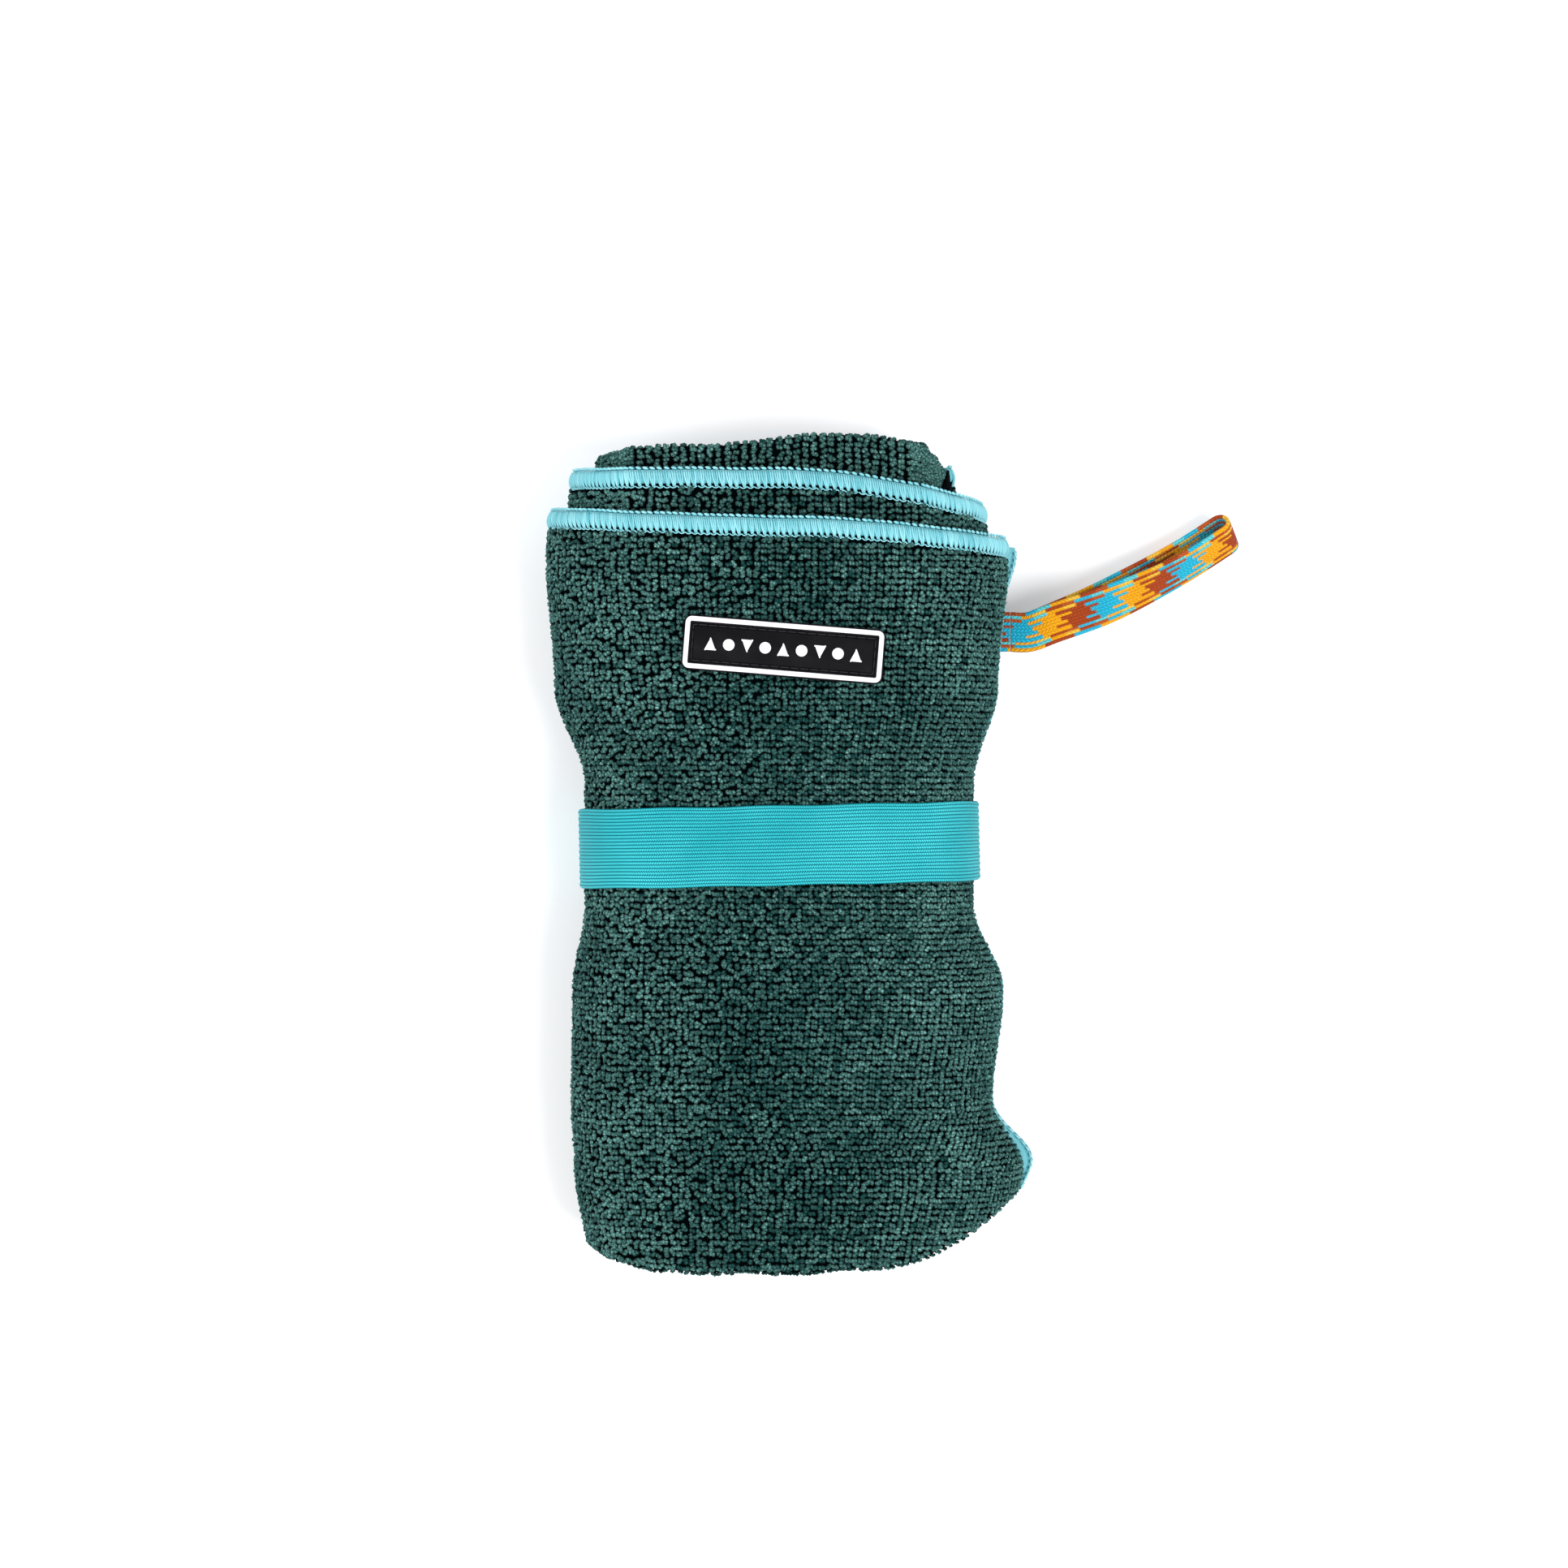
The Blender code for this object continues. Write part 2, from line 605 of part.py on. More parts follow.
def make_tape(name, sections, look):
    """A flat tape through these sections, each a place, the way of its width and the way of its face."""
    mesh = bpy.data.meshes.new(name)
    made = bmesh.new()
    rings = []
    for place, width, face in sections:
        side, rise = width * TAPE_WIDTH / 2, face * TAPE_THICK / 2
        corners = (side + rise, rise - side, -side - rise, side - rise)
        rings.append([made.verts.new(place + corner) for corner in corners])
    for one, two in zip(rings, rings[1:]):
        for i in range(4):
            j = (i + 1) % 4
            made.faces.new((one[i], one[j], two[j], two[i]))
    made.faces.new(rings[0][::-1])
    made.faces.new(rings[-1])
    bmesh.ops.recalc_face_normals(made, faces=made.faces)
    made.to_mesh(mesh)
    made.free()
    return add_object(name, mesh, look, smooth=False)


def make_loop(tape, thread):
    """The hanging loop, its tails sewn under the free end's hem, and the bar tack across the tails."""
    side = roll_point(LOOP_Y, FREE_END, 0)[0]
    hem_foot = roll_point(LOOP_Y, FREE_END - arc_share(HEM_WIDTH), 0)[1]
    tape_top = hem_foot - TACK_THICK - 2 * GAP
    root = Vector((side + LOOP_STAND_OFF, LOOP_Y, tape_top - HINGE_RISE.z))
    make_tape("hanging_loop", tape_sections(), tape).location = root + HINGE_RISE
    inner = side - STRIP + TAIL_CLEARANCE
    outer = root.x - GAP
    across, up = Vector((0, 1, 0)), Vector((0, 0, 1))
    for name, sign in (("loop_tail_upper", 1), ("loop_tail_lower", -1)):
        ends = [Vector((x, LOOP_Y, root.z + sign * ROOT_SPREAD)) for x in (inner, outer)]
        make_tape(name, [(place, across, up) for place in ends], tape)
    outline_of_tack = rounded_outline(TACK_LENGTH, TAPE_WIDTH - TACK_MARGIN, TACK_CORNER)
    tack = plate("loop_bar_tack", [outline_of_tack], TACK_THICK, thread)
    tack.location = (side - HEM_THICK, LOOP_Y, tape_top + GAP)


def main():
    for thing in list(bpy.data.objects):
        bpy.data.objects.remove(thing)
    bpy.context.scene.collection.children.link(PARTS)
    bpy.context.scene.collection.children.link(CUTTERS)
    CUTTERS.hide_render = True
    terry = material("terry", (0.035, 0.11, 0.10), 0.95)
    overlock = material("overlock_thread", (0.15, 0.58, 0.66), 0.7)
    elastic = material("elastic", (0.03, 0.50, 0.55), 0.6)
    rubber = material("black_rubber", (0.012, 0.011, 0.013), 0.5)
    white = material("white_rubber", (0.85, 0.84, 0.87), 0.5)
    black_thread = material("black_thread", (0.02, 0.02, 0.022), 0.8)
    tape = material("braided_tape", (0.85, 0.42, 0.03), 0.7)
    make_turns(terry)
    make_hems(overlock)
    make_band(elastic, overlock)
    make_badge(rubber, white, black_thread)
    make_loop(tape, black_thread)


main()
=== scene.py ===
"""Looks of the quick dry towel: terry cloth folded in three, rolled flat and held by an elastic band.

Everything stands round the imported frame, in metres and +Z up. A place on the roll is given in turns: 0 is the
middle of the right side, and one turn goes over the front, round the left side and under the back.
"""

import json
import logging
import math
from collections.abc import Callable
from dataclasses import dataclass, field
from enum import Enum

import bpy
import numpy as np
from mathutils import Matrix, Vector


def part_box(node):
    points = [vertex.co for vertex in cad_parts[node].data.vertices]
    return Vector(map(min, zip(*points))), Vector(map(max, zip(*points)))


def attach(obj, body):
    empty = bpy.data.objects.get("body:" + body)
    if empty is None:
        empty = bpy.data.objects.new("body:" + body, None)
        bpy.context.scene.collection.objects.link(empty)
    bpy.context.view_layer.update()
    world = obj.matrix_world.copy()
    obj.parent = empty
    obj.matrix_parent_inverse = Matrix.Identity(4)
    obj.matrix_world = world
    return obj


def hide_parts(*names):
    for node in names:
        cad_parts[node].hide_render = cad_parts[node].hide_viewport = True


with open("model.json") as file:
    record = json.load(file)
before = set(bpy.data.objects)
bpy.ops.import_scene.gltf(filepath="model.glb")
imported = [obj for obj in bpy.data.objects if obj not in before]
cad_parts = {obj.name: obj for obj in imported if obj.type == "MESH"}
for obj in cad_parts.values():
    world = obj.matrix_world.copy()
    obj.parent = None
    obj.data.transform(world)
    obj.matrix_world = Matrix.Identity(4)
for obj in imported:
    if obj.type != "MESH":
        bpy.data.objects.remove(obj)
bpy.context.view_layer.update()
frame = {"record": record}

LOG = logging.getLogger("quick_dry_towel")
MM = 0.001
SEED = 20
LEAST_CORNER = 0.15 * MM
UPRIGHT = np.array([0.0, 0.0, 1.0])
Array = np.ndarray
Triple = tuple[float, float, float]
Colour = Triple
Place = Callable[[Array, Array, Array], Array]
Socket = bpy.types.NodeSocket
Pattern = tuple[Socket, Socket]


class Body(Enum):
    """The frame's moving bodies."""

    TOWEL = "towel"
    BAND = "band"
    LOOP = "loop"


class Slot(Enum):
    """The record's material slots."""

    TERRY = "terry"
    OVERLOCK = "overlock_thread"
    ELASTIC = "elastic"
    BLACK_RUBBER = "black_rubber"
    WHITE_RUBBER = "white_rubber"
    BLACK_THREAD = "black_thread"
    TAPE = "braided_tape"


# ---- Arrays and meshes ----


def smooth(share: Array) -> Array:
    """A step from 0 to 1 that starts and ends level: 3t squared less 2t cubed, with t held in 0 to 1.

    Args:
        share: how far along the step each value is.

    Returns:
        The eased shares.
    """
    t = np.clip(share, 0.0, 1.0)
    return t * t * (3 - 2 * t)


def eased(at: Array, places: Array, values: Array) -> Array:
    """Values between stations, level at each station.

    Args:
        at: where each value is wanted.
        places: the stations, rising.
        values: one row of values for each station.

    Returns:
        An array of at's shape, with the row's values last where there are several.
    """
    at = np.asarray(at, float)
    k = np.clip(np.searchsorted(places, at) - 1, 0, len(places) - 2)
    share = smooth((at - places[k]) / (places[k + 1] - places[k]))
    if values.ndim > 1:
        share = share[..., None]
    return values[k] + (values[k + 1] - values[k]) * share


def turned(places: Array, angle: float) -> Array:
    """Turns places about the upright through the origin.

    Args:
        places: x, y and z last.
        angle: how far, in radians.

    Returns:
        The turned places.
    """
    sine, cosine = math.sin(angle), math.cos(angle)
    x, y, z = np.moveaxis(places, -1, 0)
    return np.stack([x * cosine - y * sine, x * sine + y * cosine, z], -1)


def unit(vectors: Array) -> Array:
    """The vectors at length 1, along their last axis."""
    return vectors / np.maximum(np.linalg.norm(vectors, axis=-1, keepdims=True), 1e-12)


@dataclass
class Surface:
    """A mesh in the making.

    Attributes:
        verts: places, (n, 3).
        faces: arrays of faces, one array for each number of corners.
        uv: for each array of faces, its corners' places on the cloth in metres, (n, corners, 2).
        marks: values at the places that the finish reads, by name.
    """

    verts: Array
    faces: list[Array]
    uv: list[Array] = field(default_factory=list)
    marks: dict[str, Array] = field(default_factory=dict)

    def volume(self) -> float:
        """The signed volume: the sum of the tetrahedra from the origin to each face's fan of triangles.

        Returns:
            The volume, below 0 where the faces point inwards.
        """
        total = 0.0
        for faces in self.faces:
            first = self.verts[faces[:, 0]]
            for k in range(1, faces.shape[1] - 1):
                second, third = self.verts[faces[:, k]], self.verts[faces[:, k + 1]]
                total += float(np.einsum("ij,ij->", first, np.cross(second, third))) / 6
        return total

    def faced_out(self) -> "Surface":
        """Turns every face round if the surface is inside out.

        Returns:
            The surface itself.
        """
        if self.volume() < 0:
            self.faces = [faces[:, ::-1] for faces in self.faces]
            self.uv = [uv[:, ::-1] for uv in self.uv]
        return self


def merged(parts: list[Surface]) -> Surface:
    """Several surfaces as one, each turned to face out first.

    Args:
        parts: surfaces with the same marks.

    Returns:
        One surface, without the places on the cloth.
    """
    starts = np.cumsum([0] + [len(part.verts) for part in parts[:-1]])
    faces = [f + start for part, start in zip(map(Surface.faced_out, parts), starts) for f in part.faces]
    marks = {name: np.concatenate([part.marks[name] for part in parts]) for name in parts[0].marks}
    return Surface(np.concatenate([part.verts for part in parts]), faces, marks=marks)


def loft(
    sections: Array, closed: bool = False, along: Array | None = None, around: Array | None = None
) -> Surface:
    """A skin over closed sections, capped at its ends by strips between each section's two halves.

    Args:
        sections: (sections, points, 3), with an even number of points.
        closed: whether the last section joins the first.
        along: the cloth's coordinate at each section, with one more where it is closed.
        around: its coordinate at each point, with one more for the return to the first.

    Returns:
        A closed surface.
    """
    n, m, _ = sections.shape
    row = np.arange(n if closed else n - 1)[:, None]
    col = np.arange(m)[None, :]
    low, high, side = row * m, (row + 1) % n * m, (col + 1) % m
    quads = np.stack([low + col, low + side, high + side, high + col], -1).reshape(-1, 4)
    faces, uv = [quads], []
    if along is not None and around is not None:
        here, beyond, near, far = along[row], along[row + 1], around[col], around[col + 1]
        u = np.stack(np.broadcast_arrays(here, here, beyond, beyond + 0 * col), -1)
        v = np.stack(np.broadcast_arrays(near, far, far, near + 0 * row), -1)
        uv.append(np.stack(np.broadcast_arrays(u, v), -1).reshape(-1, 4, 2))
    if not closed:
        k = np.arange(m // 2 - 1)
        cap = np.stack([k, k + 1, m - 2 - k, m - 1 - k], -1)
        faces.append(np.concatenate([cap[:, [1, 0, 3, 2]], cap + (n - 1) * m]))
        if uv:
            uv.append(np.zeros((len(faces[1]), 4, 2)))
    return Surface(sections.reshape(-1, 3), faces, uv)


def tubes(points: Array, normals: Array, radius: Array | float, sides: int = 5) -> Surface:
    """Round threads, each along its own line: a ring of points about each place, square to the line.

    Args:
        points: (threads, places, 3).
        normals: a way off each line, which fixes the rings' turn.
        radius: one radius, or one for each place.
        sides: points in a ring.

    Returns:
        All the threads as one surface.
    """
    n, m, _ = points.shape
    ahead = unit(np.gradient(points, axis=1))
    side = unit(np.cross(ahead, normals))
    rise = np.cross(side, ahead)
    angle = 2 * np.pi * np.arange(sides) / sides
    spokes = side[:, :, None] * np.cos(angle)[:, None] + rise[:, :, None] * np.sin(angle)[:, None]
    reach = np.broadcast_to(np.asarray(radius, float), (n, m))[..., None, None]
    verts = (points[:, :, None] + spokes * reach).reshape(-1, 3)
    start = (np.arange(n) * m * sides)[:, None, None]
    low = start + np.arange(m - 1)[None, :, None] * sides
    col = np.arange(sides)[None, None, :]
    high, turn = low + sides, (col + 1) % sides
    quads = np.stack([low + col, low + turn, high + turn, high + col], -1)
    ring = np.arange(sides)
    ends = np.concatenate([start[:, 0] + ring[::-1], start[:, 0] + (m - 1) * sides + ring])
    return Surface(verts, [quads.reshape(-1, 4), ends])


def toned(surface: Surface, tone: Array | float) -> Surface:
    """Marks a surface with a tone.

    Args:
        surface: what to mark.
        tone: one for all of it, or one for each of its equal parts.

    Returns:
        The same surface.
    """
    tone = np.atleast_1d(tone)
    surface.marks["tone"] = np.repeat(tone, len(surface.verts) // len(tone))
    return surface


def scatter(template: Surface, origins: Array, axes: Array, sizes: Array, tone: Array) -> Surface:
    """Copies of a small shape, each with its own place, axes and size.

    Args:
        template: the shape, of about unit size, with its own marks.
        origins: (copies, 3).
        axes: (copies, 3, 3), the ways that the shape's x, y and z point.
        sizes: (copies, 3), along those axes.
        tone: one shade for each copy.

    Returns:
        All the copies as one surface.
    """
    scaled = template.verts[None] * sizes[:, None]
    verts = origins[:, None] + np.einsum("nkj,nji->nki", scaled, axes)
    count, each = len(origins), len(template.verts)
    starts = np.arange(count)[:, None, None] * each
    faces = [(faces[None] + starts).reshape(-1, faces.shape[1]) for faces in template.faces]
    marks = {name: np.tile(values, count) for name, values in template.marks.items()}
    marks["tone"] = np.repeat(tone, each)
    return Surface(verts.reshape(-1, 3), faces, marks=marks)


def dome(sides: int, rings: list[tuple[float, float]], top: float) -> Surface:
    """A small closed dome: rings of points at given radii and heights, and one point on top.

    Args:
        sides: points in a ring.
        rings: each ring's radius and height, from the foot up.
        top: the top point's height.

    Returns:
        The dome, with its height marked as "lift", 0 at its foot and 1 on top, by which the terry finish paints
        shade towards the foot.
    """
    angle = 2 * np.pi * np.arange(sides) / sides
    radius, height = np.array(rings).T[..., None]
    layers = np.stack([radius * np.cos(angle), radius * np.sin(angle), height + 0 * angle], -1)
    verts = np.concatenate([layers.reshape(-1, 3), [[0, 0, top]]])
    row = np.arange(len(rings) - 1)[:, None] * sides
    col = np.arange(sides)[None, :]
    side = (col + 1) % sides
    quads = np.stack([row + col, row + side, row + sides + side, row + sides + col], -1).reshape(-1, 4)
    last = (len(rings) - 1) * sides
    peak = np.full(sides, len(verts) - 1)
    fan = np.stack([last + col[0], last + side[0], peak], -1)
    foot = np.arange(sides)[::-1][None]
    return Surface(verts, [quads, fan, foot], marks={"lift": np.clip(verts[:, 2] / top, 0, 1)})


def ring_stack(
    outline: Callable[[float], Array], levels: list[tuple[float, float]], frame_only: bool
) -> Surface:
    """A flat moulded shape: one outline, drawn in and raised level by level.

    Args:
        outline: gives the outline's points, (n, 2), at an inset.
        levels: each level's inset and height, going round the section.
        frame_only: whether the section closes on itself, as a frame's does, or is capped below and above.

    Returns:
        A closed surface standing on height 0.
    """
    rings = [(outline(inset), height) for inset, height in levels]
    stack = np.stack([np.column_stack([ring, np.full(len(ring), height)]) for ring, height in rings])
    n, m, _ = stack.shape
    row = np.arange(n if frame_only else n - 1)[:, None]
    col = np.arange(m)[None, :]
    high, side = (row + 1) % n * m, (col + 1) % m
    faces = [np.stack([row * m + col, row * m + side, high + side, high + col], -1).reshape(-1, 4)]
    if not frame_only:
        ring = np.arange(m)
        faces.append(np.stack([ring[::-1], (n - 1) * m + ring]))
    return Surface(stack.reshape(-1, 3), faces)


def rounded_rectangle(length: float, width: float, corner: float, inset: float, steps: int = 6) -> Array:
    """A rectangle with round corners, drawn in by an inset: a quarter circle at each corner.

    Args:
        length: along x.
        width: along y.
        corner: the corners' radius before the inset.
        inset: how far the outline is drawn in.
        steps: points in each corner, less one.

    Returns:
        Points round it, (4 * (steps + 1), 2).
    """
    radius = max(corner - inset, LEAST_CORNER)
    angle = (np.arange(4)[:, None] + np.arange(steps + 1) / steps) * np.pi / 2
    sign = np.array([(1, 1), (-1, 1), (-1, -1), (1, -1)])
    middle = sign * (np.array([length, width]) / 2 - inset - radius)
    arc = np.stack([np.cos(angle), np.sin(angle)], -1) * radius
    return (middle[:, None] + arc).reshape(-1, 2)


def add_piece(
    name: str,
    surface: Surface,
    finish: "Finish",
    body: Body,
    slot: Slot,
    replaces: tuple[str, ...] = (),
) -> bpy.types.Object:
    """Makes a piece of a surface, and sets its finish and body.

    Args:
        name: the piece's name.
        surface: its shape.
        finish: what it looks like.
        body: what it moves with.
        slot: the record's slot for its finish; not used.
        replaces: the frame's nodes that it stands for.

    Returns:
        The piece.
    """
    surface.faced_out()
    mesh = bpy.data.meshes.new(name)
    corners = np.concatenate([faces.ravel() for faces in surface.faces])
    sizes = np.concatenate([np.full(len(faces), faces.shape[1]) for faces in surface.faces])
    mesh.vertices.add(len(surface.verts))
    mesh.vertices.foreach_set("co", surface.verts.astype(np.float32).ravel())
    mesh.loops.add(len(corners))
    mesh.loops.foreach_set("vertex_index", corners.astype(np.int32))
    mesh.polygons.add(len(sizes))
    mesh.polygons.foreach_set("loop_start", np.concatenate([[0], np.cumsum(sizes)[:-1]]).astype(np.int32))
    mesh.polygons.foreach_set("use_smooth", np.ones(len(sizes), bool))
    if surface.uv:
        layer = mesh.uv_layers.new(name="cloth")
        places = np.concatenate([uv.reshape(-1, 2) for uv in surface.uv])
        layer.data.foreach_set("uv", places.astype(np.float32).ravel())
    for mark, values in surface.marks.items():
        kind, key = ("FLOAT", "value") if values.ndim == 1 else ("FLOAT_COLOR", "color")
        mesh.attributes.new(mark, kind, "POINT").data.foreach_set(key, values.astype(np.float32).ravel())
    mesh.update(calc_edges=True)
    mesh.materials.append(finish.material())
    piece = bpy.data.objects.new(name, mesh)
    bpy.context.scene.collection.objects.link(piece)
    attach(piece, body.value)
    if replaces:
        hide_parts(*replaces)
    LOG.info("%s: %d faces on %s", name, len(sizes), body.value)
    return piece


# ---- Finishes ----


class Board:
    """A node tree being filled."""

    def __init__(self, tree: bpy.types.NodeTree) -> None:
        """Keeps the tree."""
        self.tree = tree

    def add(
        self, kind: str, inputs: dict[str | int, object] | None = None, **settings: object
    ) -> bpy.types.Node:
        """Adds a node.

        Args:
            kind: the node's type, without "ShaderNode" in front.
            inputs: by name or number, a value or the socket that feeds it.
            settings: the node's own properties.

        Returns:
            The node.
        """
        made = self.tree.nodes.new("ShaderNode" + kind)
        for key, value in settings.items():
            setattr(made, key, value)
        for key, value in (inputs or {}).items():
            if isinstance(value, Socket):
                self.tree.links.new(value, made.inputs[key])
            else:
                made.inputs[key].default_value = value
        return made

    def group(self, tree: bpy.types.NodeTree, inputs: dict[str, object]) -> bpy.types.Node:
        """Places a shared group with its own values."""
        return self.add("Group", inputs, node_tree=tree)

    def math(self, operation: str, one: object, two: object = 0.0, clamp: bool = False) -> Socket:
        """One step of arithmetic on values or sockets, and its result."""
        return self.add("Math", {0: one, 1: two}, operation=operation, use_clamp=clamp).outputs[0]

    def product(self, *values: object) -> Socket:
        """Multiplies values or sockets, the last two first.

        Args:
            values: two or more.

        Returns:
            The product's socket.
        """
        made = values[-1]
        for value in values[-2::-1]:
            made = self.math("MULTIPLY", value, made)
        return made

    def blend(self, one: Socket, share: object, two: Socket, rest: object) -> Socket:
        """Two values, each times its share, added."""
        return self.math("ADD", self.product(one, share), self.product(two, rest))

    def mix(self, share: object, one: object, two: object, blend: str = "MIX") -> Socket:
        """Two colours mixed by a share, and the result."""
        inputs = {0: share, 6: one, 7: two}
        return self.add("Mix", inputs, data_type="RGBA", blend_type=blend, clamp_factor=True).outputs[2]

    def mark(self, name: str) -> Socket:
        """The value of one of the mesh's own marks."""
        return self.add("Attribute", attribute_name=name).outputs["Fac"]

    def spread(self, value: Socket, low: float, high: float) -> Socket:
        """A value stretched so that low becomes 0 and high becomes 1."""
        return self.add("MapRange", {0: value, 1: low, 2: high}, clamp=True).outputs[0]


def node_group(
    name: str, inputs: dict[str, float], vector: bool, outputs: list[str]
) -> tuple[Board, dict, dict]:
    """A new shader group with named inputs and outputs.

    Args:
        name: the group's name.
        inputs: each value input's name and usual value.
        vector: whether it has a Vector input as well.
        outputs: its value outputs' names.

    Returns:
        Its board, its inputs' sockets by name, and its outputs' sockets by name.
    """
    tree = bpy.data.node_groups.new(name, "ShaderNodeTree")
    if vector:
        tree.interface.new_socket("Vector", in_out="INPUT", socket_type="NodeSocketVector")
    for key, value in inputs.items():
        tree.interface.new_socket(key, in_out="INPUT", socket_type="NodeSocketFloat").default_value = value
    for key in outputs:
        tree.interface.new_socket(key, in_out="OUTPUT", socket_type="NodeSocketFloat")
    source, sink = tree.nodes.new("NodeGroupInput"), tree.nodes.new("NodeGroupOutput")
    return Board(tree), dict(source.outputs.items()), dict(sink.inputs.items())


def fibre_group() -> bpy.types.NodeTree:
    """Fine fibres in cloth and thread: two sizes of noise on the object, the finer one for height.

    Returns:
        The group, made once, with Tone from 0 to 1 and Height.
    """
    made = bpy.data.node_groups.get("fibre_grain")
    if made:
        return made
    usual = {"Grain": 1800.0, "Patch": 60.0, "Mottle": 0.5}
    board, given, out = node_group("fibre_grain", usual, True, ["Tone", "Height"])
    fine = {"Vector": given["Vector"], "Scale": given["Grain"], "Detail": 3.0, "Roughness": 0.65}
    grain = board.add("TexNoise", fine).outputs["Fac"]
    wide = {"Vector": given["Vector"], "Scale": given["Patch"], "Detail": 2.0}
    patch = board.spread(board.add("TexNoise", wide).outputs["Fac"], 0.3, 0.7)
    rest = board.math("SUBTRACT", 1.0, given["Mottle"])
    tone = board.blend(patch, given["Mottle"], board.spread(grain, 0.25, 0.75), rest)
    board.tree.links.new(tone, out["Tone"])
    board.tree.links.new(grain, out["Height"])
    return board.tree


def row_group() -> bpy.types.NodeTree:
    """Rows of slanted stitches, turned the other way in every second row, as in a rib or a flat braid.

    The phase is the way along over the pitch, plus how far across its row the place is, times a lean whose
    sign changes from row to row. Stitch is a rounded wave of that phase, and Rib is an arch over each row.
    Hole is what both leave open: 1 less the root of Rib, times 1 less Stitch.

    Returns:
        The group, made once, with Rib, Stitch and Hole from 0 to 1.
    """
    made = bpy.data.node_groups.get("slanted_rows")
    if made:
        return made
    usual = {"Along": 0.0, "Across": 0.0, "Pitch": 0.001, "Row": 0.001, "Lean": 0.5}
    board, given, out = node_group("slanted_rows", usual, False, ["Rib", "Stitch", "Hole"])
    rows = board.math("DIVIDE", given["Across"], given["Row"])
    inside = board.math("FRACT", rows)
    second = board.product(board.math("FLOORED_MODULO", board.math("FLOOR", rows), 2.0), 2.0)
    lean = board.product(board.math("SUBTRACT", second, 1.0), given["Lean"])
    stitches = board.math("DIVIDE", given["Along"], given["Pitch"])
    phase = board.math("ADD", stitches, board.product(inside, lean))
    wave = board.math("SINE", board.product(phase, 2 * math.pi))
    stitch = board.math("ADD", board.product(wave, 0.5), 0.5)
    arch = board.math("SINE", board.product(inside, math.pi))
    groove = board.math("SUBTRACT", 1.0, board.math("POWER", arch, 0.5))
    hole = board.product(groove, board.math("SUBTRACT", 1.0, stitch))
    for key, value in (("Rib", arch), ("Stitch", stitch), ("Hole", hole)):
        board.tree.links.new(value, out[key])
    return board.tree


@dataclass(frozen=True)
class Finish:
    """What a surface is made of.

    Attributes:
        name: the material's name.
        roughness: of its surface.
        gloss: how much light its surface throws back.
        fibres: its fibres to the metre, its wide patches to the metre, and the patches' share of its tone.
        relief: how deep its bump is.
    """

    name: str
    roughness: float = 0.8
    gloss: float = 0.15
    fibres: Triple = (2600.0, 120.0, 0.25)
    relief: float = 0.12 * MM

    def material(self) -> bpy.types.Material:
        """Makes the material on first use, and bumps it by its pattern.

        Returns:
            The material.
        """
        made = bpy.data.materials.get(self.name)
        if made:
            return made
        made = bpy.data.materials.new(self.name)
        made.use_nodes = True
        board = Board(made.node_tree)
        shader = made.node_tree.nodes["Principled BSDF"]
        shader.inputs["Roughness"].default_value = self.roughness
        shader.inputs["Specular IOR Level"].default_value = self.gloss
        colour, height = self.pattern(board)
        board.tree.links.new(colour, shader.inputs["Base Color"])
        bump = board.add("Bump", {"Strength": 1.0, "Distance": self.relief, "Height": height})
        board.tree.links.new(bump.outputs["Normal"], shader.inputs["Normal"])
        return made

    def pattern(self, board: Board) -> Pattern:
        """The colour, and the relief's height from 0 to 1."""
        raise NotImplementedError

    def grain(self, board: Board) -> bpy.types.Node:
        """Places the shared fibre group on the object's own coordinates.

        Args:
            board: the material's board.

        Returns:
            The group's node.
        """
        place = board.add("TexCoord").outputs["Object"]
        given = dict(zip(("Grain", "Patch", "Mottle"), self.fibres))
        return board.group(fibre_group(), {"Vector": place, **given})


@dataclass(frozen=True)
class WovenFinish(Finish):
    """What a woven strip is made of: slanted rows of stitches, which lie along the piece's own cloth map.

    Attributes:
        pitch: from stitch to stitch.
        row: a row's width.
        lean: how many stitches a row leans over its width.
    """

    pitch: float = 1.3 * MM
    row: float = 1.067 * MM
    lean: float = 0.8

    def weave(self, board: Board) -> tuple[bpy.types.Node, Socket]:
        """Places the shared group of slanted rows on the piece's own cloth coordinates.

        Args:
            board: the material's board.

        Returns:
            The group's node, and the stitches' crests: Rib times Stitch.
        """
        cloth = board.add("UVMap", uv_map="cloth").outputs[0]
        along, across = board.add("SeparateXYZ", {0: cloth}).outputs[:2]
        given = {"Pitch": self.pitch, "Row": self.row, "Lean": self.lean}
        node = board.group(row_group(), {"Along": along, "Across": across, **given})
        return node, board.product(node.outputs["Rib"], node.outputs["Stitch"])


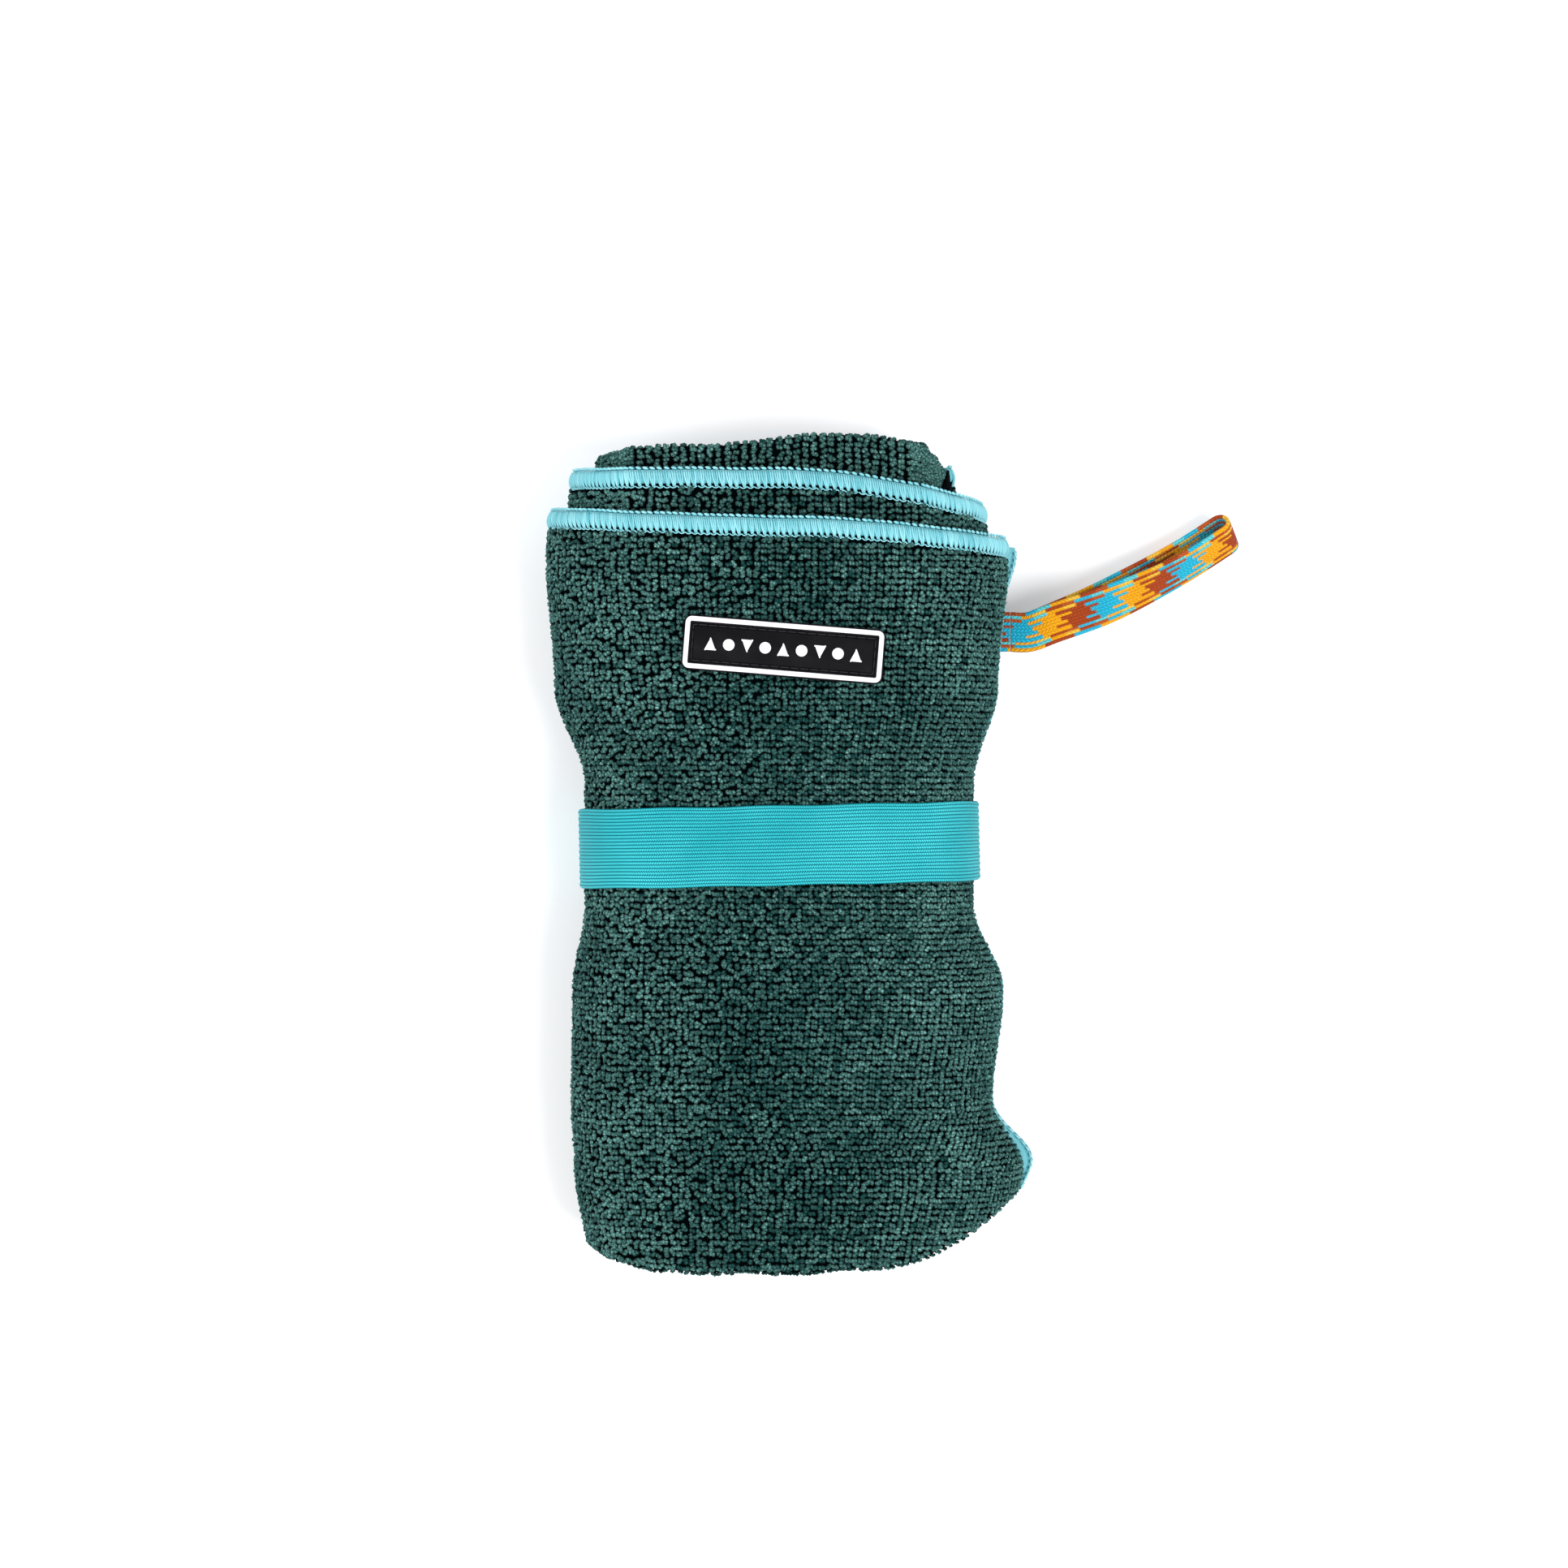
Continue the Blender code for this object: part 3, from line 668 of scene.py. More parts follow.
@dataclass(frozen=True)
class TerryFinish(Finish):
    """Looped microfibre: painted shade between the loops and towards their feet, a painted highlight at their
    tips, each loop a little different.

    Attributes:
        yarns: plied yarns to the metre.
        crease: how wide the crease between two yarns is, in shares of a yarn.
        crease_shade_and_depth: how much painted shade a crease puts on the loop, and its share of the relief.
        foot_shade_power: how fast the painted shade darkens a loop towards its foot.
        highlight_and_tone: how strongly the painted highlight, with the fibres, lifts the loop towards the pale
            shade.
    """

    # deep is painted shade, between the loops, at their feet and over the whole sheet; pale is a painted
    # highlight at the tips
    deep: Colour = (0.0, 0.0012, 0.0016)
    body: Colour = (0.021, 0.100, 0.094)
    pale: Colour = (0.26, 0.57, 0.52)
    yarns: float = 1050.0
    crease: float = 0.16
    crease_shade_and_depth: float = 0.6
    foot_shade_power: float = 1.3
    highlight_and_tone: float = 1.3

    def pattern(self, board: Board) -> Pattern:
        """Mixes three shades by the marks "lift" and "tone", the fibres, and the creases between plied yarns,
        which paints shade and highlight on the loops.

        The crease mask times 0.6, plus 0.4, times the lift to the power 1.3, leads from deep to body: painted
        shade in the creases and towards each loop's foot. That share times the fibres' tone and the loop's own
        tone, which carries painted sheen near the roll's
        sides, leads on to pale: a painted highlight at the tips.

        Args:
            board: the material's board.

        Returns:
            The colour and the relief.
        """
        fibres, rest = self.grain(board).outputs, 1 - self.crease_shade_and_depth
        place = board.add("TexCoord").outputs["Object"]
        plies = board.add("TexVoronoi", {"Vector": place, "Scale": self.yarns}, feature="DISTANCE_TO_EDGE")
        crease = board.spread(plies.outputs["Distance"], 0.0, self.crease)
        # painted shade: the creases and each loop's foot are darkened towards deep
        crease_shading = board.math("ADD", board.product(crease, self.crease_shade_and_depth), rest)
        raised = board.product(board.math("POWER", board.mark("lift"), self.foot_shade_power), crease_shading)
        colour = board.mix(raised, (*self.deep, 1), (*self.body, 1))
        # painted highlight: each loop's tip is lifted towards pale
        highlight_and_tone = board.product(board.mark("tone"), fibres["Tone"], raised)
        highlight_and_tone = board.math("MULTIPLY", highlight_and_tone, self.highlight_and_tone, clamp=True)
        relief = board.blend(crease, self.crease_shade_and_depth, fibres["Height"], rest)
        return board.mix(highlight_and_tone, colour, (*self.pale, 1)), relief


@dataclass(frozen=True)
class ThreadFinish(Finish):
    """Bulked thread: fine filaments, with each strand a little lighter or darker."""

    dark: Colour = (0.03, 0.36, 0.43)
    light: Colour = (0.37, 0.74, 0.80)
    filaments: float = 0.45

    def pattern(self, board: Board) -> Pattern:
        """Mixes the two shades by the fibres' share of the tone, and the mark "tone" for the rest.

        Args:
            board: the material's board.

        Returns:
            The colour and the relief.
        """
        fibres = self.grain(board).outputs
        share = board.blend(fibres["Tone"], self.filaments, board.mark("tone"), 1 - self.filaments)
        return board.mix(share, (*self.dark, 1), (*self.light, 1)), fibres["Height"]


@dataclass(frozen=True)
class ElasticFinish(WovenFinish):
    """Woven elastic: ribs with slanted stitches, each pin-hole between them darkened by painted shade, and a
    painted highlight on the stitches on top.

    Attributes:
        groove: how dark the painted shade in the groove between two ribs is, and how fast it closes up the rib.
        hole_shade: how dark the painted shade in a pin-hole is, and how fast it closes.
    """

    # dark is the painted shade in the grooves and each pin-hole; light is the painted highlight on the crests
    dark: Colour = (0.0, 0.065, 0.09)
    body: Colour = (0.001, 0.36, 0.42)
    light: Colour = (0.13, 0.88, 0.94)
    shine: float = 0.1
    groove: tuple[float, float] = (0.8, 0.35)
    hole_shade: tuple[float, float] = (1.9, 1.2)

    def pattern(self, board: Board) -> Pattern:
        """Mixes the shades by stitch, hole and fibre: a painted highlight on the crests, and painted shade in
        the grooves and each pin-hole.

        Args:
            board: the material's board.

        Returns:
            The colour and the relief.
        """
        node, crest = self.weave(board)
        tone = board.math("ADD", self.grain(board).outputs["Tone"], self.shine)
        # painted highlight on the crests
        shine = board.math("MULTIPLY", crest, tone, clamp=True)
        colour = board.mix(shine, (*self.body, 1), (*self.light, 1))
        # painted shade in the grooves and each pin-hole
        groove = board.math("SUBTRACT", 1.0, board.math("POWER", node.outputs["Rib"], self.groove[1]))
        hole = board.product(board.math("POWER", node.outputs["Hole"], self.hole_shade[1]), self.hole_shade[0])
        dark = board.math("ADD", hole, board.product(groove, self.groove[0]), clamp=True)
        return board.mix(dark, colour, (*self.dark, 1)), crest


@dataclass(frozen=True)
class TapeFinish(WovenFinish):
    """Flat braid: the mark "dye" gives each strand's colour, slanted rows give its relief, and a painted
    highlight lightens the crests.

    Attributes:
        shades: how much the painted highlight on the crests and the fibres lighten a strand, and its least
            lightness.
    """

    shades: Triple = (0.55, 0.3, 0.42)

    def pattern(self, board: Board) -> Pattern:
        """Multiplies the strands' dye by a grey: the crests' share, which is a painted highlight, the fibres'
        share and the least.

        Args:
            board: the material's board.

        Returns:
            The colour and the relief.
        """
        crest = self.weave(board)[1]
        dye = board.add("Attribute", attribute_name="dye").outputs["Color"]
        # painted highlight: the crests lighten the strand
        shade = board.blend(crest, self.shades[0], self.grain(board).outputs["Tone"], self.shades[1])
        shade = board.math("ADD", shade, self.shades[2])
        grey = board.add("CombineColor", {0: shade, 1: shade, 2: shade}).outputs[0]
        return board.mix(1.0, dye, grey, "MULTIPLY"), crest


@dataclass(frozen=True)
class RubberFinish(Finish):
    """Soft moulded rubber: an even colour with a fine bloom and a little dust in it."""

    body: Colour = (0.004, 0.0035, 0.0045)
    dusty: Colour = (0.012, 0.011, 0.013)
    bloom: float = 2.5

    def pattern(self, board: Board) -> Pattern:
        """Mixes the two shades by the fibres' tone to the power of the bloom, with their grain for relief.

        Args:
            board: the material's board.

        Returns:
            The colour and the relief.
        """
        fibres = self.grain(board).outputs
        share = board.math("POWER", fibres["Tone"], self.bloom)
        return board.mix(share, (*self.body, 1), (*self.dusty, 1)), fibres["Height"]


TERRY = TerryFinish("terry_loops", 0.95, 0.02, (1500.0, 38.0, 0.35), 0.4 * MM)
OVERLOCK = ThreadFinish("overlock_strands", 0.55, 0.2)
ELASTIC = ElasticFinish(
    "ribbed_elastic", 0.5, 0.12, (2400.0, 45.0, 0.5), 0.25 * MM, pitch=0.75 * MM, row=1.058 * MM, lean=0.7
)
TAPE = TapeFinish("flat_braid", 0.6, 0.12, (2600.0, 90.0, 0.3), 0.3 * MM)
BLACK_RUBBER = RubberFinish("black_moulded_rubber", 0.6, 0.06, (3500.0, 150.0, 0.5), 0.03 * MM)
WHITE_RUBBER = RubberFinish(
    "white_moulded_rubber", 0.8, 0.15, BLACK_RUBBER.fibres, 0.03 * MM, (0.86, 0.85, 0.89), (0.72, 0.71, 0.76)
)
BLACK_THREAD = ThreadFinish(
    "black_sewing_thread", 0.8, dark=(0.006, 0.006, 0.007), light=(0.045, 0.043, 0.046)
)


# ---- The roll's shape ----


@dataclass(frozen=True)
class Roll:
    """The rolled towel's form, with the same sizes as the frame's.

    Attributes:
        strip: how thick the three plies lie together.
        girth: round the outermost turn.
        crown: how far the front's middle stands above its sides.
        step: the share of a turn over which the spiral steps in.
        foot_at: how far from the foot its outline's width is taken.
        foot_drop: how far the foot's corners are drawn in, from a peak across a width.
        foot_climb: how far each turn's foot is drawn in, in shares of its depth.
        core_drop: how far the core's fold falls away at its sides.
        core_from: the turn at which the core starts, and how fast the room and the fold change to it.
        core_dip: how far its left side dips, from which x and over how long.
        last_dip: how far its last turn stands back.
        behind_hem: how far the fold stands back behind a hem.
        end_room: how far the core is drawn in for the inner end.
        ripples: the waves along an edge: each one's height, how often it comes and its start.
    """

    half_length: float = 133 * MM
    strip: float = 6 * MM
    girth: float = 376 * MM
    crown: float = 4 * MM
    step: float = 1 / 8
    foot_at: float = 20 * MM
    foot_drop: float = 14 * MM
    foot_peak: float = -8 * MM
    foot_climb: float = 0.3
    foot_width: float = 145.5 * MM
    core_drop: float = 9 * MM
    core_from: float = 1.9
    room_rate: float = 10.0
    fold_rate: float = 4.0
    core_dip: Triple = (2.6 * MM, 10 * MM, 24 * MM)
    last_dip: float = 2.0 * MM
    behind_hem: float = 2.5 * MM
    end_room: float = 3.2 * MM
    last_turn: float = 3.85
    wave: float = 0.55 * MM
    ripples: tuple[Triple, ...] = ((1.0, 19.0, 1.0), (0.7, 43.0, 2.3), (0.45, 97.0, 4.1))
    sections: tuple[tuple[float, ...], ...] = (  # y, width, lean of the middle, base and top, in millimetres
        (-133.0, 133.5, 3.0, 2.0, 52.0),
        (-102.0, 145.5, 4.5, 0.0, 55.0),
        (-80.0, 136.5, -1.0, 0.0, 56.0),
        (-44.5, 139.5, 1.0, 0.0, 56.0),
        (-18.5, 126.4, -1.8, 4.2, 52.8),
        (22.9, 126.4, -1.8, 4.2, 52.8),
        (52.9, 143.6, -2.8, 0.0, 56.0),
        (93.0, 149.6, -2.5, 0.0, 56.0),
        (133.0, 143.6, -3.0, 2.0, 52.0),
    )
    hem_drops: tuple[float, ...] = (38.6, 33.2, 29.5, 28.8, 27.5, 17.4, 16.8, 16.0, 15.0)

    def point(self, y: Array, turn: Array, inset: Array, cut: Array | float = 0.0) -> Array:
        """Places on the roll: a section of two flats and two round sides, crowned over its front.

        Each flat and each half circle takes a quarter of a turn. The crown lifts a place by 1 less the square
        of how far across it lies, in the measure of its height.

        Args:
            y: how far along the roll.
            turn: how far round it.
            inset: how deep below its outside.
            cut: how far the right side is drawn in.

        Returns:
            Places, with x, y and z last.
        """
        y, turn, inset, cut = np.broadcast_arrays(y, turn, inset, cut)
        table = np.array(self.sections) * MM
        width, lean, base, top = np.moveaxis(eased(y, table[:, 0], table[:, 1:]), -1, 0)
        left, full_right = lean - width / 2, lean + width / 2
        right = full_right - cut
        radius = (top - base) / 2
        round_by = radius - inset
        flat = right - left - 2 * radius
        share = turn % 1.0
        over = (share > 1 / 8) & (share < 3 / 8)
        under = (share > 5 / 8) & (share < 7 / 8)
        leftward = (share >= 3 / 8) & (share <= 5 / 8)
        from_right = np.where(share > 0.5, share - 1, share) * 4 * np.pi
        angle = np.where(leftward, np.pi / 2 + (share - 3 / 8) * 4 * np.pi, from_right)
        middle = np.where(leftward, left + radius, right - radius)
        x = middle + round_by * np.cos(angle)
        z = round_by * np.sin(angle)
        x = np.where(over, right - radius - flat * (share - 1 / 8) * 4, x)
        x = np.where(under, left + radius + flat * (share - 5 / 8) * 4, x)
        z = base + radius + np.where(over, round_by, np.where(under, -round_by, z))
        across = (2 * x - left - full_right) / (full_right - left)
        z = z + self.crown * (1 - across**2) * (z - base) / (top - base)
        return np.stack([x, y, z], -1)

    def depth(self, turn: Array) -> Array:
        """How deep a turn lies: one strip a turn, stepping in at its end."""
        whole = np.floor(turn)
        return self.strip * (whole + smooth((turn - whole - 1) / self.step + 1))

    def cut(self, turn: Array) -> Array:
        """How far the right side is drawn in, which makes room for the inner end beside the core."""
        return self.end_room * smooth((turn - self.core_from) * self.room_rate)

    def waver(self, turn: Array, seed: float) -> Array:
        """A small uneven wave along an edge: the sum of its ripples' sines of the turn."""
        waves = (high * np.sin(turn * often + start * seed) for high, often, start in self.ripples)
        return self.wave * sum(waves)

    def foot(self, turn: Array) -> Array:
        """Where each turn's fold lies at the foot: drawn in by the fourth power of how far across it is.

        Args:
            turn: how far round the roll.

        Returns:
            Each fold's y.
        """
        deep = self.depth(turn)
        x = self.point(self.foot_at - self.half_length, turn, deep)[..., 0]
        across = np.abs(x - self.foot_peak) / (self.foot_width / 2)
        drawn_in = self.foot_drop * across**4 + self.foot_climb * deep
        return drawn_in - self.half_length + np.abs(self.waver(turn, 1.0))

    def hem(self, turn: Array) -> Array:
        """Where the sewn edge starts, on the outer two turns: eased through one drop a quarter turn."""
        drops = np.array(self.hem_drops) * MM
        return self.half_length - eased(turn, np.arange(len(drops)) / 4, drops) + 0.3 * self.waver(turn, 3.0)

    def fold(self, turn: Array) -> Array:
        """Where the plain fold lies at the hemmed end: behind the hem, and standing above it in the core.

        The core's fold falls away by the fourth power of how far across it is, and dips on its left.

        Args:
            turn: how far round the roll.

        Returns:
            Each fold's y.
        """
        _, width, lean, *_ = np.array(self.sections[-1]) * MM
        x = self.point(self.half_length, turn, self.depth(turn), self.end_room)[..., 0]
        dip, dip_from, dip_over = self.core_dip
        core = self.half_length - self.core_drop * (2 * (x - lean) / width) ** 4
        core = core - np.abs(self.waver(turn, 5.0)) - dip * smooth((dip_from - x) / dip_over)
        core = core - self.last_dip * (turn > 3)
        behind = self.hem(turn) - self.behind_hem
        return behind + (core - behind) * smooth((turn - self.core_from) * self.fold_rate)


@dataclass(frozen=True)
class FoldedStrip:
    """The sheet folded in three: outer ply, fold at the foot, inner ply, top fold and middle ply.

    A way of 0 to 1 runs down the outer ply, 1 to 2 round the foot, 2 to 3 up the inner ply, 3 to 4 over the
    top fold and 4 to 5 down the middle ply.

    Attributes:
        outer: how deep the outer ply lies in the strip.
        middle: how deep the middle ply lies.
        inner: how deep the inner ply lies.
        tucked: how far the outer ply reaches into its hem.
        core_edge: where its edge lies in the core.
        short: how far the middle ply stops short of the foot.
    """

    roll: Roll
    outer: float = 1.6 * MM
    middle: float = 3.4 * MM
    inner: float = 4.9 * MM
    tucked: float = 5.0 * MM
    core_edge: float = 112 * MM
    short: float = 6 * MM

    def edge(self, turn: Array) -> Array:
        """The outer ply's edge: inside its hem on two turns, and hidden below the fold in the core."""
        hem = self.roll.hem(turn) + self.tucked
        return hem + (self.core_edge - hem) * smooth((turn - 2.0) * self.roll.room_rate)

    def place(self, turn: Array, way: Array, lift: Array | float = 0.0) -> Array:
        """Places on the folded cloth: straight plies joined by half circles, wound into the roll.

        Args:
            turn: how far round the roll.
            way: how far along the folded width, 0 to 5.
            lift: how far off the cloth's middle, on the side that shows.

        Returns:
            Places, with x, y and z last.
        """
        turn, way = np.broadcast_arrays(np.asarray(turn, float), np.asarray(way, float))
        big, small = (self.inner - self.outer) / 2, (self.inner - self.middle) / 2
        edge, fold = self.edge(turn), self.roll.fold(turn) - small
        foot = self.roll.foot(turn) + big
        part = np.clip(np.floor(way), 0, 4).astype(int)
        t = way - part
        angle = np.pi * t
        sine, cosine = np.sin(angle), np.cos(angle)
        down, up = edge + (foot - edge) * t, foot + (fold - foot) * t
        back = fold + (foot + self.short - fold) * t
        y = np.choose(part, [down, foot - big * sine, up, fold + small * sine, back])
        flat = 0 * t
        around_foot = (self.outer + self.inner) / 2 - big * cosine
        over_top = (self.middle + self.inner) / 2 + small * cosine
        plies = [flat + self.outer, around_foot, flat + self.inner, over_top, flat + self.middle]
        deep = np.choose(part, plies)
        off_y = np.choose(part, [flat, -sine, flat, sine, flat])
        off_deep = np.choose(part, [flat - 1, -cosine, flat + 1, cosine, flat - 1])
        inset = self.roll.depth(turn) + deep + lift * off_deep
        return self.roll.point(y + lift * off_y, turn, inset, self.roll.cut(turn))

    def way_at(self, turn: Array, y: Array) -> Array:
        """The way down the outer ply at which the cloth passes y: how far y lies from its edge to its foot.

        Args:
            turn: how far round the roll.
            y: how far along it.

        Returns:
            The ways, from 0 to 1.
        """
        foot = self.roll.foot(turn) + (self.inner - self.outer) / 2
        edge = self.edge(turn)
        return (edge - y) / (edge - foot)


# ---- The towel ----


@dataclass
class TowelCloth:
    """The terry sheet, folded and rolled, and the loops of its pile.

    Attributes:
        start: the turn at which the sheet starts, under the free end's hem.
        steps_per_part: the sheet's steps along each ply and round each fold.
        loop_pitch: from loop to loop round the roll.
        row_pitch: from row to row along it.
        last_column: the turn of the outer ply's last loops, just short of its hem.
        above_foot: how far the outer ply's rows stop from the foot.
        above_hem: how far the next ply's rows start above the hem in front.
        under_hem: how far the rows stop inside a hem.
        core_rows: rows down the core's middle ply.
        foot_ways: where loops stand round the foot's fold, as ways along the folded width.
        top_ways: where they stand up to the top fold and over it.
        last_ways: where they stand behind it, in the last turn.
        settled: how ruffled the pile is at its calmest, and how much more on the left.
        shift: the loops' wander, in pitches: along the roll, round it, and round it on the folds.
        twist: how far a loop's two beads are turned.
        band_from: the waist under the band, in which the pile is pressed down to a share.
        spin: how far alternate columns are turned, and how much each loop strays from that.
        lean: how far a loop leans.
        long: a loop's length, from and to.
        wide: its width.
        tall: its height.
        shade: the loops' usual tone, its spread, and how much paler the painted sheen makes the rims.
        rim: for the painted sheen, how far out the sides are at their palest, where the hemmed end starts, and
            over how long.
        ruffle: how uneven the strays are: their usual share, and how much more or less in patches.
    """

    roll: Roll
    strip: FoldedStrip
    cloth_thick: float = 0.8 * MM
    sheet_width: float = 762 * MM
    sheet_length: float = 1270 * MM
    start: float = -0.012
    steps_per_turn: int = 92
    steps_per_part: tuple[int, ...] = (34, 6, 36, 5, 32)
    loop_pitch: float = 2.3 * MM
    row_pitch: float = 1.9 * MM
    last_column: float = 0.996
    above_foot: float = 1.4 * MM
    above_hem: float = 2 * MM
    under_hem: float = 0.35 * MM
    core_rows: int = 11
    foot_ways: Triple = (1.12, 1.45, 1.8)
    top_ways: tuple[float, ...] = (2.008, 3 - 4 / 266, 3.3, 3.72)
    last_ways: tuple[float, float] = (4.004, 4.012)
    settled: tuple[float, float] = (0.45, 0.55)
    shift: Triple = (0.15, 0.13, 0.12)
    loops_in_piece: int = 4300
    twist: float = math.radians(24)
    band_from: float = -20.0 * MM
    band_to: float = 24.5 * MM
    pressed: float = 0.75
    spin: tuple[float, float] = (0.5, 0.7)
    lean: float = 0.34
    long: tuple[float, float] = (1.05, 1.32)
    wide: tuple[float, float] = (0.84, 1.06)
    tall: tuple[float, float] = (0.95, 1.38)
    shade: Triple = (0.27, 0.23, 0.42)
    rim: Triple = (74 * MM, 108 * MM, 16 * MM)
    ruffle: tuple[float, float] = (0.85, 0.35)

    def build(self, hems: list[bpy.types.Object]) -> None:
        """Args:
            hems: the sewn edges, which go with it; not used.
        """
        # The sheet has no lift mark, so the terry finish paints it all in its deep colour: painted shade under
        # and between the loops.
        sheet = add_piece(
            "towel_sheet",
            self.sheet_surface(),
            TERRY,
            Body.TOWEL,
            Slot.TERRY,
            ("towel_outer_turn", "towel_second_turn", "towel_core"),
        )
        pile = self.pile()

    def sheet_surface(self) -> Surface:
        """The cloth itself: a closed skin over the folded strip's two sides, wound nearly four times round.

        Returns:
            The skin.
        """
        steps = [part + np.arange(n) / n for part, n in enumerate(self.steps_per_part)]
        way = np.concatenate([*steps, [5.0]])
        last = self.roll.last_turn
        turn = np.linspace(self.start, last, int(last * self.steps_per_turn) + 1)
        half = self.cloth_thick / 2
        shown = self.strip.place(turn[:, None], way[None], half)
        hidden = self.strip.place(turn[:, None], way[None], -half)
        return loft(np.concatenate([shown, hidden[:, ::-1]], 1))

    def columns(self, first: float, last: float) -> Array:
        """Columns of loops between two turns, evenly spaced along the cloth as the turns get shorter.

        Args:
            first: the turn to start at.
            last: the turn to end at.

        Returns:
            Each column's turn.
        """
        found = []
        for whole in range(int(first), math.ceil(last)):
            count = int((self.roll.girth - whole * 2 * math.pi * self.roll.strip) / self.loop_pitch)
            found.append(whole + (np.arange(count) + 0.5) / count)
        turns = np.concatenate(found)
        return turns[(turns > first) & (turns < last)]

    def rows_of_loops(
        self, turns: Array, low: Array, high: Array, rng: np.random.Generator
    ) -> tuple[Array, Array]:
        """Loops on the outer ply between two edges: a lattice, with each loop set off a little.

        Args:
            turns: the columns.
            low: each column's lower edge.
            high: and its upper edge.
            rng: the random draws.

        Returns:
            Each loop's turn and its way along the folded width.
        """
        rows = np.arange(int((2 * self.roll.half_length) / self.row_pitch)) * self.row_pitch
        y = self.roll.half_length - rows[None] + 0 * turns[:, None]
        loose = self.looseness(turns)[:, None]
        y = y + rng.normal(0, self.shift[0], y.shape) * loose * self.row_pitch
        wander = rng.normal(0, self.shift[1], y.shape) * loose
        turn = turns[:, None] + wander * self.loop_pitch / self.roll.girth
        keep = (y > low[:, None]) & (y < high[:, None])
        turn, y = turn[keep], y[keep]
        return turn, self.strip.way_at(turn, y)

    def looseness(self, turns: Array) -> Array:
        """How ruffled the pile is: 1 over the left side, and about a half from the middle to the right.

        Args:
            turns: how far round the roll.

        Returns:
            Shares, from two steps multiplied: one up from 0.16 of a turn and one down to 0.9.
        """
        calm, more = self.settled
        share = turns % 1.0
        return calm + more * smooth((share - 0.16) * 6) * smooth((0.9 - share) * 6)

    def arc_loops(self, turns: Array, ways: Array, rng: np.random.Generator) -> tuple[Array, Array]:
        """Loops at set ways along the folded width, in every column, each set off a little.

        A ply is as long as the roll and a fold a few millimetres, so the wander is a smaller share of a ply.

        Args:
            turns: the columns.
            ways: the ways.
            rng: the random draws.

        Returns:
            Each loop's turn and its way along the folded width.
        """
        way, turn = np.meshgrid(ways, turns)
        turn = turn + rng.normal(0, self.shift[2], turn.shape) * self.loop_pitch / self.roll.girth
        stretch = np.where(way % 2 < 1, self.shift[1] * self.row_share(), 0.03)
        return turn.ravel(), (way + rng.normal(0, 1, way.shape) * stretch).ravel()

    def row_share(self) -> float:
        """From row to row, as a share of a ply."""
        return self.row_pitch / (2 * self.roll.half_length)

    def pile(self) -> list[bpy.types.Object]:
        """Makes every loop that shows: the outer ply, the ply between the hems, and the folds at both ends.

        Returns:
            The pieces.
        """
        rng = np.random.default_rng(SEED)
        roll, last = self.roll, self.roll.last_turn
        outer, second = self.columns(0.0, self.last_column), self.columns(1.0, 2.0)
        core, every = self.columns(2.0, 3.0), self.columns(0.0, last)
        low, high = roll.foot(outer) + self.above_foot, roll.hem(outer) - self.under_hem
        next_low, next_high = roll.hem(second - 1) + self.above_hem, roll.hem(second) - self.under_hem
        fields = [
            self.rows_of_loops(outer, low, high, rng),
            self.rows_of_loops(second, next_low, next_high, rng),
            self.arc_loops(every, np.array(self.foot_ways), rng),
            self.arc_loops(every, np.array(self.top_ways), rng),
            self.arc_loops(core, 4 + np.arange(self.core_rows) * self.row_share(), rng),
            self.arc_loops(self.columns(3.0, last), np.array(self.last_ways), rng),
        ]
        turn = np.concatenate([f[0] for f in fields])
        way = np.concatenate([f[1] for f in fields])
        return self.make_loops(turn, way, rng)

    def curl(self) -> Surface:
        """One loop of the pile: two small beads side by side, turned alike, as its yarn crosses over itself.

        Returns:
            The loop, of about unit size.
        """
        beads = []
        for side, tall in ((-1, 1.0), (1, 0.84)):
            bead = dome(6, [(0.72, -0.12), (1.0, 0.42)], tall)
            x, y, z = turned(bead.verts * (0.66, 0.95, 1.0), self.twist).T
            bead.verts = np.column_stack([x + side * 0.4, y + side * 0.12, z])
            beads.append(bead)
        return merged(beads)

    def make_loops(self, turn: Array, way: Array, rng: np.random.Generator) -> list[bpy.types.Object]:
        """Sets a small leaning loop on the cloth at each place, pressed down under the band.

        Each is turned one way or the other by its column, and strays more where the pile is ruffled. Its tone
        is drawn at random, and painted sheen makes it paler towards the roll's sides and its hemmed end.

        Args:
            turn: each loop's turn.
            way: and its way along the folded width.
            rng: the random draws.

        Returns:
            The pieces, in order round the roll.
        """
        order = np.argsort(turn, kind="stable")
        turn, way = turn[order], way[order]
        half = self.cloth_thick / 2
        origin = self.strip.place(turn, way, half)
        normal = unit(self.strip.place(turn, way, half + 0.5 * MM) - origin)
        tangent = self.strip.place(turn + 1e-3, way, half) - self.strip.place(turn - 1e-3, way, half)
        tangent = unit(tangent - normal * np.sum(tangent * normal, -1, keepdims=True))
        other = np.cross(normal, tangent)
        count = len(turn)
        share, more = self.ruffle
        patches = np.sin(turn * 23.0) * np.sin(way * 17.0 + turn * 9.0)
        wild = self.looseness(turn) * (share + more * patches)
        column = np.round(turn * self.roll.girth / self.loop_pitch)
        set_at, stray = self.spin
        spin = np.where(column % 2 == 0, set_at, -set_at) + rng.normal(0, stray, count) * wild
        long = tangent * np.cos(spin)[:, None] + other * np.sin(spin)[:, None]
        lean = rng.normal(0, self.lean, (count, 2)) * wild[:, None]
        up = unit(normal + long * lean[:, :1] + other * lean[:, 1:])
        long = unit(long - up * np.sum(long * up, -1, keepdims=True))
        axes = np.stack([long, np.cross(up, long), up], 1)
        pressed = (origin[:, 1] > self.band_from) & (origin[:, 1] < self.band_to) & (way < 1)
        tall = np.where(pressed, self.pressed, 1.0) * rng.uniform(*self.tall, count) * MM
